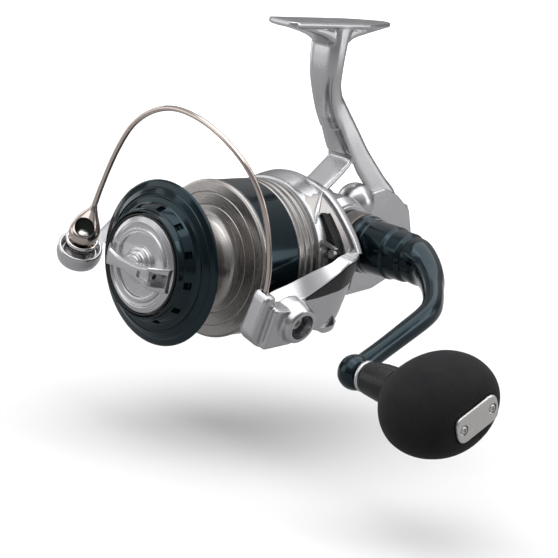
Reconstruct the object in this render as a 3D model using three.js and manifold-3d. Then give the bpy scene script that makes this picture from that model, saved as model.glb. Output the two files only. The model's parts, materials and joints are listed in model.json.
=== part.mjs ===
// Large saltwater spinning reel: foot and stem over a gearbox, turning rotor with a
// folding bail, reciprocating spool with a front drag, and a one-piece bent crank.
// Millimetres, +Z up. The origin is the centre of the foot's flat seating face.
// The reel itself is drawn in a group whose own origin is the spool axis at the front
// of the spool lip: x across (handle at +X), y backwards, z up towards the rod.
import * as THREE from 'three';
import { mergeVertices } from 'three/addons/utils/BufferGeometryUtils.js';
import Module from 'manifold-3d';

const wasm = await Module();
wasm.setup();

// ---- driving dimensions -------------------------------------------------------
const GAP = 0.3;                    // clearance between touching pieces
const FOOT_CENTRE_Y = 84.2;         // spool lip to the middle of the foot
const FOOT_LENGTH = 66;             // along the rod
const FOOT_WIDTH = 16.6;
const FOOT_THICKNESS = 2.2;         // at the edges, which go under the seat's hoods
const KEEL_HALF_WIDTH = 6.4;        // the wedge between the foot and the stem
const AXIS_DROP = 98.8;             // foot face down to the spool axis
const LIP_RADIUS = 33.5;            // spool lip, 67 mm across
const SKIRT_RADIUS = 32.2;
const ARBOR_RADIUS = 15.3;
const REAR_WALL_Y = 26.5;           // front of the spool's rear wall
const SKIRT_END_Y = 57.5;
const SHAFT_RADIUS = 3;
const PINION_BORE = 3.25;
const PINION_TIP = 4.3;
const ROTOR_TURN = THREE.MathUtils.degToRad(15);   // the near arm stands 15 degrees low
const PIVOT_Y = 29;                 // bail pivots, behind the spool lip
const ARM_INNER_X = 39.5;           // inner face of each rotor arm
const ARM_OUTER_X = 44.5;
const HANDLE_Y = 90;                // crank axis
const HANDLE_Z = 9;
const CRANK_LENGTH = 74.8;          // crank axis to knob axis
const CRANK_DROP = THREE.MathUtils.degToRad(24.2);   // the crank points forward and down
const GEAR_TEETH = 49;
const PINION_TEETH = 10;
const GEAR_RADIUS = 16;
const WORM_X = 3.5;
const WORM_Z = -9.5;
const FINE = 30;                     // facets round the large turned pieces
const PLAIN = 18;                    // and round the smaller ones

// ---- finishes -----------------------------------------------------------------
function finish(color, roughness, metalness) {
  return new THREE.MeshStandardMaterial({ color, roughness, metalness });
}
const SILVER = finish(0xb9bbbf, 0.38, 0.75);
const BLUE = finish(0x10222b, 0.25, 0.6);
const BRUSHED = finish(0x8b8681, 0.35, 0.9);
const STEEL = finish(0xa8a4a0, 0.2, 1);
const BRASS = finish(0xb08d4a, 0.35, 1);
const CARBON = finish(0x1c1c1e, 0.8, 0);
const BLACK = finish(0x101214, 0.5, 0.1);
const FOAM = finish(0x131416, 0.95, 0);
const GREY = finish(0x55524f, 0.55, 0.4);

// ---- closed-solid tools -------------------------------------------------------
function solid(geometry) {
  const bare = geometry.index ? geometry.toNonIndexed() : geometry.clone();
  bare.deleteAttribute('normal');
  bare.deleteAttribute('uv');
  const merged = mergeVertices(bare, 1e-4);
  const build = (indices) => new wasm.Manifold(new wasm.Mesh({
    numProp: 3,
    vertProperties: new Float32Array(merged.attributes.position.array),
    triVerts: new Uint32Array(indices),
  }));
  const indices = dropFlat(Array.from(merged.index.array));
  const first = build(indices);
  return first.volume() > 0 ? first : build(indices.reverse());
}

function dropFlat(indices) {
  const kept = [];
  for (let i = 0; i < indices.length; i += 3) {
    const [a, b, c] = indices.slice(i, i + 3);
    if (a !== b && b !== c && c !== a) kept.push(a, b, c);
  }
  return kept;
}

function geometryOf(manifold) {
  const mesh = manifold.getMesh();
  const geometry = new THREE.BufferGeometry();
  geometry.setAttribute('position', new THREE.BufferAttribute(mesh.vertProperties, 3));
  geometry.setIndex(new THREE.BufferAttribute(mesh.triVerts, 1));
  geometry.computeVertexNormals();
  return geometry;
}

function joined(...solids) {
  return solids.reduce((sum, next) => sum.add(next));
}

function placed(geometry, x = 0, y = 0, z = 0) {
  return solid(geometry.translate(x, y, z));
}

// Turns a closed [radius, y] outline about the Y axis.
function turned(outline, segments = PLAIN) {
  const points = outline.map(([r, y]) => new THREE.Vector2(r, y));
  const onAxis = outline[0][0] === 0;
  if (!onAxis) points.push(points[0].clone());
  return solid(new THREE.LatheGeometry(points, segments));
}

function ring(inner, outer, from, to, segments = PLAIN) {
  return turned([[inner, from], [outer, from], [outer, to], [inner, to]], segments);
}

function rod(radius, from, to, segments = 14) {
  return turned([[0, from], [radius, from], [radius, to], [0, to]], segments);
}

// The same ring or rod lying along X, centred on (y, z).
function alongX(geometrySolid, y, z) {
  return geometrySolid.rotate([0, 0, -90]).translate([0, y, z]);
}

// Extrudes a [y, z] outline from one x to another.
function slab(outline, fromX, toX) {
  const shape = new THREE.Shape(outline.map(([y, z]) => new THREE.Vector2(y, z)));
  const geometry = new THREE.ExtrudeGeometry(shape, { depth: toX - fromX, bevelEnabled: false });
  geometry.rotateX(Math.PI / 2);
  geometry.rotateZ(Math.PI / 2);
  return placed(geometry, fromX, 0, 0);
}

function block(low, high) {
  const size = high.map((value, i) => value - low[i]);
  const middle = high.map((value, i) => (value + low[i]) / 2);
  return placed(new THREE.BoxGeometry(...size), ...middle);
}

// A superellipse section: centre, two half-axis vectors, and squareness (2 is an ellipse).
function section(centre, across, up, squareness = 2) {
  return { centre, across, up, squareness };
}

function sectionPoint({ centre, across, up, squareness }, angle) {
  const power = 2 / squareness;
  const c = Math.sign(Math.cos(angle)) * Math.abs(Math.cos(angle)) ** power;
  const s = Math.sign(Math.sin(angle)) * Math.abs(Math.sin(angle)) ** power;
  return centre.map((value, i) => value + c * across[i] + s * up[i]);
}

// Skins a list of sections: a capped cylinder whose rings are moved onto them.
function loft(sections, sides = 12) {
  const rings = sections.length - 1;
  const geometry = new THREE.CylinderGeometry(1, 1, 1, sides, rings);
  const at = geometry.attributes.position;
  for (let i = 0; i < at.count; i += 1) {
    const level = Math.round((0.5 - at.getY(i)) * rings);
    const middle = Math.hypot(at.getX(i), at.getZ(i)) < 0.5;
    const angle = Math.atan2(at.getZ(i), at.getX(i)) + Math.PI / sides;
    const here = sections[level];
    at.setXYZ(i, ...(middle ? here.centre : sectionPoint(here, angle)));
  }
  return solid(geometry);
}

// A round bar along a smooth path of [x, y, z] points.
function bar(path, radius, steps, sides = 8) {
  const circle = new THREE.Shape();
  for (let i = 0; i < sides; i += 1) {
    const angle = (2 * Math.PI * i) / sides;
    const go = i ? 'lineTo' : 'moveTo';
    circle[go](radius * Math.cos(angle), radius * Math.sin(angle));
  }
  const curve = new THREE.CatmullRomCurve3(path.map((p) => new THREE.Vector3(...p)));
  return solid(new THREE.ExtrudeGeometry(circle, { steps, extrudePath: curve, bevelEnabled: false }));
}

function toothedWheel(bore, root, tip, teeth, from, to) {
  const tooth = (2 * Math.PI) / teeth;
  const outline = new THREE.Shape();
  for (let i = 0; i < teeth; i += 1) {
    const marks = [[root, 0], [root, 0.3], [tip, 0.45], [tip, 0.7]];
    for (const [radius, share] of marks) {
      const angle = tooth * (i + share);
      const go = i === 0 && share === 0 ? 'moveTo' : 'lineTo';
      outline[go](radius * Math.cos(angle), radius * Math.sin(angle));
    }
  }
  const geometry = new THREE.ExtrudeGeometry(outline, { depth: to - from, bevelEnabled: false });
  geometry.rotateX(-Math.PI / 2);
  return placed(geometry, 0, from, 0).subtract(rod(bore, from - 1, to + 1, 20));
}

// ---- scene graph --------------------------------------------------------------
const reel = new THREE.Group();
reel.position.set(0, -FOOT_CENTRE_Y, -AXIS_DROP);
const rotorGroup = new THREE.Group();
rotorGroup.rotation.y = ROTOR_TURN;
reel.add(rotorGroup);

function add(name, manifold, material, group = reel) {
  const mesh = new THREE.Mesh(geometryOf(manifold), material);
  mesh.name = name;
  group.add(mesh);
}

// ---- foot, stem and gearbox ---------------------------------------------------
// A stem section: middle (y, z), half width in x, half thickness along (dy, dz).
function stemSection(y, z, halfWidth, halfThick, lean) {
  const dy = Math.cos(lean) * halfThick;
  const dz = Math.sin(lean) * halfThick;
  return section([0, y, z], [halfWidth, 0, 0], [0, dy, dz], 4);
}

function frameSolid() {
  const trunk = loft([
    stemSection(83.5, 97.4, 8.5, 6.5, 0), stemSection(82.7, 90, 8.4, 4.8, 0),
    stemSection(82.2, 83, 8.4, 4.7, 0), stemSection(83, 76, 7.6, 4.5, 0.12),
    stemSection(84.5, 69.5, 6.2, 4, 0.3), stemSection(88, 61.5, 5.6, 4.8, 0.6),
    stemSection(92.5, 55, 6, 4.6, 0.65),
  ]);
  const frontLeg = loft([
    stemSection(88, 61.5, 5.4, 4.2, 0.6), stemSection(93.3, 53.5, 5.8, 3.6, 0.6),
    stemSection(96.4, 46.4, 6.4, 2.2, 0.45), stemSection(98.9, 40.6, 7, 1.7, 0.1),
    stemSection(96.2, 36.9, 7, 1.5, -0.8), stemSection(89.7, 31.4, 7, 1.5, -0.9),
    stemSection(84.1, 27, 7, 1.6, -0.9), stemSection(81, 20, 7, 2.2, -0.2),
  ]);
  const rearLeg = loft([
    stemSection(91.5, 59, 6, 4.6, 0.75), stemSection(98.2, 49, 7, 5.9, 0.75),
    stemSection(104.8, 40.2, 7.6, 5.8, 0.75), stemSection(115.5, 28.6, 8.8, 6.6, 0.78),
    stemSection(124.5, 18.5, 10.4, 10.5, 0.62), stemSection(127, 5, 10.8, 13.6, 0.1),
    stemSection(121, -8, 10, 11, -0.35),
  ]);
  const legs = frontLeg.add(rearLeg.subtract(rearLegRelief()));
  return joined(trunk, legs, footSolid(), gearboxSolid()).subtract(gearboxHollow());
}

// What is cut from the rear leg: its front edge, then a step behind its outer plate, then
// the whole of its far half.
function rearLegRelief() {
  const front = [[96, 40.8], [99.8, 37], [103.7, 33.3], [108.3, 29], [114.5, 23.3], [116, 20], [100, 20],
    [90, 30]];
  const step = [[97, 44], [104, 41], [108, 37], [112.5, 32.8], [118.5, 26.8], [120, 20], [100, 20],
    [90, 30]];
  const farHalf = [[101, 46], [112, 56], [136, 32], [134, 20], [100, 20], [90, 30], [97, 44]];
  return joined(slab(front, -20, 20), slab(step, -20, 6.4), slab(farHalf, -20, 1.5));
}

function footSolid() {
  const front = FOOT_CENTRE_Y - FOOT_LENGTH / 2;
  const back = FOOT_CENTRE_Y + FOOT_LENGTH / 2;
  const half = FOOT_WIDTH / 2;
  const outline = new THREE.Shape();
  outline.moveTo(-half, front + 3);
  outline.quadraticCurveTo(-half, front, 3 - half, front);
  outline.lineTo(half - 3, front);
  outline.quadraticCurveTo(half, front, half, front + 3);
  outline.lineTo(half, back - 18);
  outline.quadraticCurveTo(half - 1, back - 1, 2.5, back);
  outline.lineTo(-2.5, back);
  outline.quadraticCurveTo(1 - half, back - 1, -half, back - 18);
  const plate = new THREE.ExtrudeGeometry(outline, {
    depth: FOOT_THICKNESS, bevelEnabled: false, curveSegments: 6,
  });
  const under = AXIS_DROP - FOOT_THICKNESS;
  const wedge = [[front + 1, under + 0.2], [73, 90.4], [79, 87.5], [88.5, 88.5], [91, 92],
    [back - 4, under + 0.2]];
  return placed(plate, 0, 0, under).add(slab(wedge, -KEEL_HALF_WIDTH, KEEL_HALF_WIDTH));
}

const FRONT_BOSS_END = 77;           // the boss that carries the roller clutch
const BODY_OUTLINE = [
  [79.5, -16], [86, -18.7], [103, -19.7], [120, -17.8], [130, -13.7], [136.6, -5],
  [139.5, 6.7], [134, 20], [126, 20], [121.5, 14.5], [117, 11.8], [98, 11.8], [88, 16], [79.5, 23],
];

function gearboxSolid() {
  const boxBody = slab(BODY_OUTLINE, -12.3, 9);
  const gearHousing = alongX(rod(18.6, -12.3, -3, FINE), HANDLE_Y, HANDLE_Z);
  const bearingBoss = alongX(turned([[0, 0], [16.6, 0], [16.6, 14], [14.6, 17], [14.4, 19], [0, 19]], FINE),
    HANDLE_Y, HANDLE_Z);
  const shoulder = placed(new THREE.SphereGeometry(8, 16, 10), 9, 104, 22.4);
  const frontBoss = rod(27, 64, FRONT_BOSS_END, FINE).add(rod(19, 76, 80, PLAIN));
  return joined(boxBody, gearHousing, bearingBoss, shoulder, frontBoss);
}

function gearboxHollow() {
  const gearRoom = alongX(rod(16.9, -13, -3.4, PLAIN), HANDLE_Y, HANDLE_Z);
  const slideRoom = block([-9, 82, -14], [8.2, 131, 5.2]);
  const hatch = block([-13, 84, -14], [-8, 131, 8]);
  const pinionRoom = rod(8.6, 73.2, 84, PLAIN);
  const wormRoom = placed(new THREE.CylinderGeometry(6.6, 6.6, 9, 20), WORM_X, 78, WORM_Z);
  const bearingSeat = rod(10.3, 66.4, 74, PLAIN);
  const clutchSeat = rod(20.6, 63, 66.4, PLAIN);
  const shaftHoles = alongX(rod(5, -13, 20), HANDLE_Y, HANDLE_Z);
  const rightSeat = alongX(rod(10.5, 11.5, 20, PLAIN), HANDLE_Y, HANDLE_Z);
  const shaftTail = rod(3.6, 130, 134);
  return joined(gearRoom, slideRoom, hatch, pinionRoom, wormRoom, bearingSeat, clutchSeat,
    shaftHoles, rightSeat, shaftTail);
}

function addBody() {
  add('frame', frameSolid(), SILVER);
  add('side_cover', sideCoverSolid(), SILVER);
  add('rear_cap', rearCapSolid(), SILVER);
  const screws = [[83.5, -12.5], [126, -12.5], [129.5, 15]];
  screws.forEach(([y, z], i) => {
    const head = alongX(rod(2.2, -17.6, -16, 12), y, z);
    const socket = alongX(rod(1.1, -18, -16.8, 6), y, z);
    add(`cover_screw_${i + 1}`, head.subtract(socket), STEEL);
  });
  add('left_bore_cap', alongX(turned([[0, -21], [6, -21], [8, -19.8], [8, -16], [0, -16]]),
    HANDLE_Y, HANDLE_Z), BLUE);
}

function sideCoverSolid() {
  const disc = alongX(turned([[0, -15.7], [16.4, -15.7], [18.6, -14], [18.6, -12.6], [0, -12.6]], FINE),
    HANDLE_Y, HANDLE_Z);
  const plate = slab(BODY_OUTLINE, -15.7, -12.6);
  const bearingPocket = alongX(rod(9.1, -14.2, -12, PLAIN), HANDLE_Y, HANDLE_Z);
  const bossRoom = rod(27.4, 60, FRONT_BOSS_END + GAP, FINE).add(rod(19.4, 76, 80.4, PLAIN));
  return joined(disc, plate).subtract(bearingPocket).subtract(bossRoom);
}

function rearCapSolid() {
  const outline = [[131.6, -13.6], [137.8, -5.6], [140.7, 6.7], [136, 19], [138.4, 19],
    [142.9, 6.7], [139.6, -7.4], [133.2, -15.2]];
  return slab(outline, -9, 8);
}

// ---- drive train --------------------------------------------------------------
function driveGearSolid() {
  const web = turned([[4.8, -9.6], [GEAR_RADIUS, -9.6], [GEAR_RADIUS, -6.2], [12.6, -6.2],
    [12.2, -7.4], [4.8, -7.4]], 49);
  const toothAngle = 360 / GEAR_TEETH;
  const teeth = [];
  for (let i = 0; i < GEAR_TEETH; i += 1) {
    const tooth = placed(new THREE.BoxGeometry(3, 1.8, 0.85), 14.4, -5.5, 0);
    teeth.push(tooth.rotate([0, i * toothAngle, 0]));
  }
  return alongX(joined(web, ...teeth), HANDLE_Y, HANDLE_Z);
}

function pinionSolid() {
  const shank = ring(PINION_BORE, 5, 31.6, 74, 16);
  return shank.add(toothedWheel(PINION_BORE, 3.9, PINION_TIP, PINION_TEETH, 73.9, 84));
}

function addDrive() {
  add('drive_gear', driveGearSolid(), BRASS);
  add('drive_gear_shaft', alongX(turned([[0, -11.8], [3.4, -11.8], [3.4, -9.9], [4.5, -9.9],
    [4.5, 29], [0, 29]], 16), HANDLE_Y, HANDLE_Z), STEEL);
  add('drive_gear_bearing_left', alongX(ring(3.8, 8.6, -14, -11.2, 16), HANDLE_Y, HANDLE_Z), STEEL);
  add('drive_gear_bearing_right', alongX(ring(4.8, 10, 11.8, 16.8), HANDLE_Y, HANDLE_Z), STEEL);
  add('handle_collar', alongX(ring(5, 12.6, 19.6, 27.4), HANDLE_Y, HANDLE_Z), GREY);
  add('pinion_gear', pinionSolid(), BRASS, rotorGroup);
  add('pinion_bearing', ring(5.3, 9.9, 66.7, 72.2), STEEL);
  add('roller_clutch', ring(7.8, 20, 55, 66), BLACK);
  add('clutch_sleeve', ring(5.3, 7.5, 54.6, 66.2, 16), STEEL, rotorGroup);
  add('worm_shaft', wormSolid(), STEEL);
  add('worm_gear', toothedWheel(2, 4.9, 5.4, 13, 75, 79).translate([WORM_X, 0, WORM_Z]), BLACK);
  add('guide_rod', rod(1.3, 82.3, 130.7, 12).translate([-2.4, 0, -10.6]), STEEL);
}

function wormSolid() {
  const outline = [[0, 74], [1.7, 74], [1.7, 79.4], [3.3, 79.4]];
  const pitch = 9;
  for (let y = 92; y < 128; y += pitch) {
    outline.push([3.3, y], [2.6, y + 1.2], [2.6, y + 2.4], [3.3, y + 3.6]);
  }
  outline.push([3.3, 130.6], [0, 130.6]);
  return turned(outline, 12).translate([WORM_X, 0, WORM_Z]);
}

// ---- main shaft and oscillation -----------------------------------------------
function addMainShaft() {
  add('main_shaft', rod(SHAFT_RADIUS, -9.6, 126), STEEL);
  const slider = block([-3.9, 117, -12.6], [7.6, 125, 4.6])
    .subtract(rod(SHAFT_RADIUS + GAP, 110, 130))
    .subtract(rod(3.7, 110, 130).translate([WORM_X, 0, WORM_Z]))
    .subtract(rod(1.65, 110, 130, 12).translate([-2.4, 0, -10.6]));
  add('oscillation_slider', slider, BLACK);
  add('spool_seat_collar', ring(SHAFT_RADIUS + GAP, 9.2, 26.5, 30.4, 16), BLACK);
  add('keyed_washer', ring(SHAFT_RADIUS + GAP, 18.5, 0.2, 1.6), STEEL);
}

// ---- spool and drag -----------------------------------------------------------
function addSpool() {
  add('spool_lip_ring', turned([
    [20.7, -9.6], [21.6, -9.8], [23.2, -7.3], [24.4, -7], [25.7, -3.4], [28.5, -2.3],
    [31.5, -0.4], [33.1, -0.3], [LIP_RADIUS, 0.1], [LIP_RADIUS, 0.6], [33.1, 1], [30.6, 2.9],
    [20.7, 2.9],
  ], FINE), BLUE);
  const wall = REAR_WALL_Y;
  add('spool_drum', turned([
    [6.9, 4], [19, 4], [19, -8.5], [20.4, -8.5], [20.4, 3.2], [27.5, 3.2], [27.5, 4.2],
    [18.8, 5.4], [16.4, 6.6], [ARBOR_RADIUS, 9], [ARBOR_RADIUS, 21], [16.4, wall - 2.3],
    [18.8, wall - 0.3], [20.2, wall], [32, wall + 0.4], [32.6, wall + 1], [32.6, wall + 2.7],
    [12.8, wall + 2.7], [12.8, 9.5], [9.5, 9.5], [9.5, 26], [6.9, 26],
  ], FINE), BRUSHED);
  add('spool_skirt', ring(30.7, SKIRT_RADIUS, 29.5, 47.2, FINE), BLUE);
  add('spool_skirt_ring', turned([
    [30.7, 47.5], [32.1, 47.5], [32.1, 50.2], [31.5, 50.5], [31.5, 51.1], [32.1, 51.4],
    [32.1, 53.8], [31.5, 54.1], [31.5, 54.7], [32.1, 55], [32.1, SKIRT_END_Y],
    [30.7, SKIRT_END_Y],
  ], FINE), SILVER);
  for (const [i, y] of [1.9, -2].entries()) {
    add(`carbon_washer_${i + 1}`, ring(8, 18.6, y, y + 1.8), CARBON);
  }
  add('pressure_plate', ring(4.6, 17.3, -5.4, -2.4), STEEL);
  add('drag_retaining_ring', ring(17.6, 18.7, -7, -5.9), STEEL);
  add('spool_bearing_front', ring(3.4, 6.5, 4.5, 8.5, 16), STEEL);
  add('spool_bearing_rear', ring(3.4, 6.5, 21.5, 25.5, 16), STEEL);
  add('drag_click_wheel', toothedWheel(9.9, 11.4, 12.3, 20, 22, 28.6), BLACK);
}

const GRIP_TILT = 5;                 // degrees that the grip stands off level, crank side down

function addDragKnob() {
  const disc = turned([
    [0, -12.9], [3, -12.7], [5.4, -11.8], [6.4, -10.4], [13.1, -10], [13.6, -10.6], [15.2, -10.6],
    [15.7, -10], [18.4, -10.5], [19.3, -9.8], [19.3, -8.9], [8, -8.9], [8, -6.2], [3.4, -6.2],
    [3.4, -10], [0, -10],
  ], FINE);
  const stations = [
    [-18.4, -10.8, 1.2, 2.6], [-15.2, -12.2, 2.4, 3.2], [-11, -14, 4.2, 3.2], [-6, -14.1, 4.2, 2.4],
    [0, -14.2, 4.2, 2.6], [7, -14.3, 4.2, 3], [12.4, -14.2, 4.2, 4.2], [16.2, -13, 3.2, 5],
    [18.5, -10.9, 1.4, 4.9],
  ];
  const grip = loft(stations.map(([x, y, deep, tall]) => section([x, y, 0], [0, deep, 0], [0, 0, tall], 4)));
  add('drag_knob', disc.add(grip.rotate([0, GRIP_TILT, 0])), SILVER);
  add('drag_knob_seal', ring(19.65, 20.3, -10.1, -8.9, FINE), BLACK);
  add('drag_spring', ring(8.6, 11.5, -8.5, -5.9, 16), STEEL);
}

// ---- rotor --------------------------------------------------------------------
function armSolid(side) {
  const middle = (ARM_INNER_X + ARM_OUTER_X) / 2;
  const half = (ARM_OUTER_X - ARM_INNER_X) / 2;
  const [rim, root, bend, shank] = side > 0 ? [20.6, 20.2, 16.6, 12.4] : [12.4, 12.2, 11.2, 9.6];
  const stations = [
    [32.8, 71, 2.6, -17, rim], [37, 67, 3.4, -15.6, root], [middle - 0.8, 60, half, -13.2, bend],
    [middle, 50, half, -10.4, shank], [middle, 38, half, -8.6, 9], [middle, 27, half, -8.4, 8.4],
    [middle, 22, half, -6, 6],
  ];
  const arm = loft(stations.map(([x, y, thick, low, high]) => section(
    [side * x, y, (low + high) / 2], [side * thick, 0, 0], [0, 0, (high - low) / 2], 4)));
  const windowCut = [[48, -2.5], [48, 2.5], [64, 8.5], [66, 8.5], [66, -8.5], [64, -8.5]];
  const pivotHole = alongX(rod(2.4, 30, 60, 12), PIVOT_Y, 0);
  const low = side > 0 ? 30 : -60;
  const cut = slab(windowCut, low, low + 30);
  return arm.subtract(cut).subtract(side > 0 ? pivotHole : pivotHole.translate([-90, 0, 0]));
}

function rotorSolid() {
  const drum = turned([
    [5.3, 36], [26.3, 36], [26.3, 31.5], [29, 31.5], [29, 56.5], [31.6, 58.5], [32.5, 58.6],
    [33.6, 61.5], [34.7, 65.5], [35.1, 69], [35, 71.2], [34.4, 72], [32.6, 72], [32.6, 69.5],
    [32.2, 66], [31, 62.5], [28.5, 59.5], [26.5, 58.5], [26.5, 39], [12, 39], [12, 54.3],
    [5.3, 54.3],
  ], FINE);
  const inside = rod(31, 59.5, 90, FINE).add(rod(30, 56, 60, FINE));
  const arms = joined(armSolid(1), armSolid(-1), rimFlare()).subtract(inside);
  return drum.add(arms);
}

// The drum's rear rim widens over the near arm into a cone that runs out to the arm's corner.
function rimFlare() {
  const quarter = rod(33, 60.4, 61, FINE).intersect(block([0, 60, 0], [34, 62, 34]));
  const rim = [[0, 35], [13.5, 35.1], [25.4, 30.3], [36, 23.6], [39, 20.6], [37, 12], [20, 0], [0, 0]];
  const plate = slab(rim, 69, 71.4).mirror([1, -1, 0]);
  return wasm.Manifold.hull([quarter, plate]);
}

function armCover(side) {
  const outline = [[46, -3.4], [46, 3.4], [58, 7.4], [61, 7.4], [61, -7.4], [58, -7.4]];
  const [from, to] = side > 0 ? [ARM_OUTER_X + GAP, 46.4] : [-46.4, -ARM_OUTER_X - GAP];
  return slab(outline, from, to);
}

function addRotor() {
  add('rotor', rotorSolid(), SILVER, rotorGroup);
  add('rotor_nut', rod(9, 32.2, 35.7, 6).subtract(rod(5.3, 30, 40)), STEEL, rotorGroup);
  add('near_arm_cover', armCover(1), BLACK, rotorGroup);
  add('far_arm_cover', armCover(-1), BLACK, rotorGroup);
  add('bail_spring', springSolid(), STEEL, rotorGroup);
}

// The torsion spring lies flat against the inner face of the near arm.
function springSolid() {
  return alongX(ring(2.9, 5.4, 36.6, 39.2, 16), PIVOT_Y + 12, 0);
}

// ---- bail ---------------------------------------------------------------------
const ROLLER_CENTRE = [-44.3, -1.5, -15.7];
const ROLLER_AXIS = new THREE.Vector3(-0.21, 0.25, -0.944).normalize();

// Stands a Y-axis solid on the roller axis, at the roller's centre.
function onRollerAxis(shape) {
  const turn = new THREE.Quaternion().setFromUnitVectors(new THREE.Vector3(0, 1, 0), ROLLER_AXIS);
  const place = new THREE.Matrix4().compose(
    new THREE.Vector3(...ROLLER_CENTRE), turn, new THREE.Vector3(1, 1, 1));
  return shape.transform(place.elements);
}

function bailLeverSolid() {
  const body = loft([
    section([46.4, 9.8, -1], [3.4, 0, 0], [0, 0, 9.2], 3),
    section([46.4, 12, -0.4], [4.8, 0, 0], [0, 0, 11.6], 3),
    section([46.8, 15.5, -0.6], [5, 0, 0], [0, 0, 11.2], 3),
    section([49.3, 20, -1.8], [4.3, 0, 0], [0, 0, 9.6], 3),
    section([49.8, 26, -0.9], [4.8, 0, 0], [0, 0, 8.8], 3),
    section([49.6, 33, 0], [4.6, 0, 0], [0, 0, 7.6], 3),
    section([48.6, 38, 0], [3.4, 0, 0], [0, 0, 4.6], 3),
  ]);
  const boss = alongX(turned([[0, 46], [8.6, 46], [8.4, 51], [7.4, 56.4], [6.6, 56.8], [0, 56.8]]),
    PIVOT_Y, 0);
  const recess = alongX(rod(4.7, 51, 58, 20), PIVOT_Y, 0);
  const hole = alongX(rod(2.4, 40, 58, 12), PIVOT_Y, 0);
  return body.add(boss).subtract(recess).subtract(hole);
}

function rollerArmSolid() {
  const arm = loft([
    section([-48.2, 38, 0], [3.2, 0, 0], [0, 0, 4.4], 3),
    section([-48.6, 32, 0], [3.6, 0, 0], [0, 0, 7.2], 3),
    section([-48.6, 24, -1.4], [3.6, 0, 0], [0, 0, 7], 3),
    section([-48.6, 16, -7], [3.3, 0, 0], [0, 2, 5.6], 3),
    section([-47.8, 10.8, -14.6], [3.6, 0, 0], [0, 3, 4.4], 3),
    section([-46.6, 6.4, -20], [4.6, 0, 0], [0, 3.6, 3.4], 3),
    section([-46, 2, -23], [4.6, 0, 0], [0, 3, 2.6], 3),
  ]);
  const cup = onRollerAxis(turned([[0, 4.8], [7.8, 4.8], [7.8, 1], [9, 1.4], [9.4, 4], [8.6, 7.4],
    [6.4, 9.4], [0, 10]]));
  const boss = alongX(rod(8.2, -53, -45.6, PLAIN), PIVOT_Y, 0);
  const recess = alongX(rod(4.7, -54, -49.4, 20), PIVOT_Y, 0);
  const hole = alongX(rod(2.4, -54, -40, 12), PIVOT_Y, 0);
  const room = onRollerAxis(rod(7.7, -6, 4.5, PLAIN));
  return joined(arm, cup, boss).subtract(recess).subtract(hole).subtract(room);
}

function pivotScrew(side) {
  const head = side > 0 ? rod(3.9, 51.3, 53.6) : rod(3.9, -51.8, -49.7);
  const shank = side > 0 ? rod(2, 40, 51.5, 12) : rod(2, -49.9, -40, 12);
  const socket = side > 0 ? rod(1.7, 52.4, 55, 6) : rod(1.7, -53, -50.9, 6);
  return alongX(head.add(shank).subtract(socket), PIVOT_Y, 0);
}

const WIRE_RADIUS = 1.15;
const WIRE_ROOT = [45.8, 13.4, 12.2];
const WIRE_PATH = [
  WIRE_ROOT, [44.6, 12, 22], [41.4, 8.8, 35.2], [36.4, 4.4, 47.6], [27.8, 0.6, 57], [14, -0.8, 61.8],
  [-1, -0.8, 62.9], [-16, -0.6, 60.4], [-27.6, -0.6, 54], [-36.4, -0.6, 43.6], [-41, -0.6, 30],
  [-43.4, -0.6, 14], [-44.4, -0.4, 3],
];

function addBail() {
  add('bail_lever', bailLeverSolid(), SILVER, rotorGroup);
  add('bail_lever_screw', pivotScrew(1), STEEL, rotorGroup);
  add('bail_wire', bar(WIRE_PATH, WIRE_RADIUS, 32), STEEL, rotorGroup);
  const cap = loft([
    section([-44.5, -0.3, 2.7], [1.5, 0, 0], [0, 1.5, 0], 2),
    section([-44.2, -1, -0.2], [2.6, 0, -0.4], [0, 2.6, 0.6], 2),
    section([-43.4, -2.4, -3.8], [5, 0, -1], [0.2, 4.8, 1.2], 2),
    section([-42.4, -3.7, -7.4], [6.4, 0, -1.4], [0.3, 6.3, 1.6], 2),
    section([-43.2, -2.8, -10.6], [6.4, 0, -1.4], [0.3, 6.3, 1.6], 2),
  ], 16);
  add('bail_wire_cap', cap, STEEL, rotorGroup);
  add('roller_arm', rollerArmSolid(), SILVER, rotorGroup);
  add('roller_arm_screw', pivotScrew(-1), STEEL, rotorGroup);
  add('roller_pin', onRollerAxis(rod(2.2, -4.3, 4.4, 12)), STEEL, rotorGroup);
  const roller = turned([
    [2.6, -3.8], [6.9, -3.8], [6.9, -2.6], [5.6, -0.6], [5.6, 0.8], [6.6, 2.8], [6.6, 3.9], [2.6, 3.9],
  ]);
  add('line_roller', onRollerAxis(roller), STEEL, rotorGroup);
}

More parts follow.
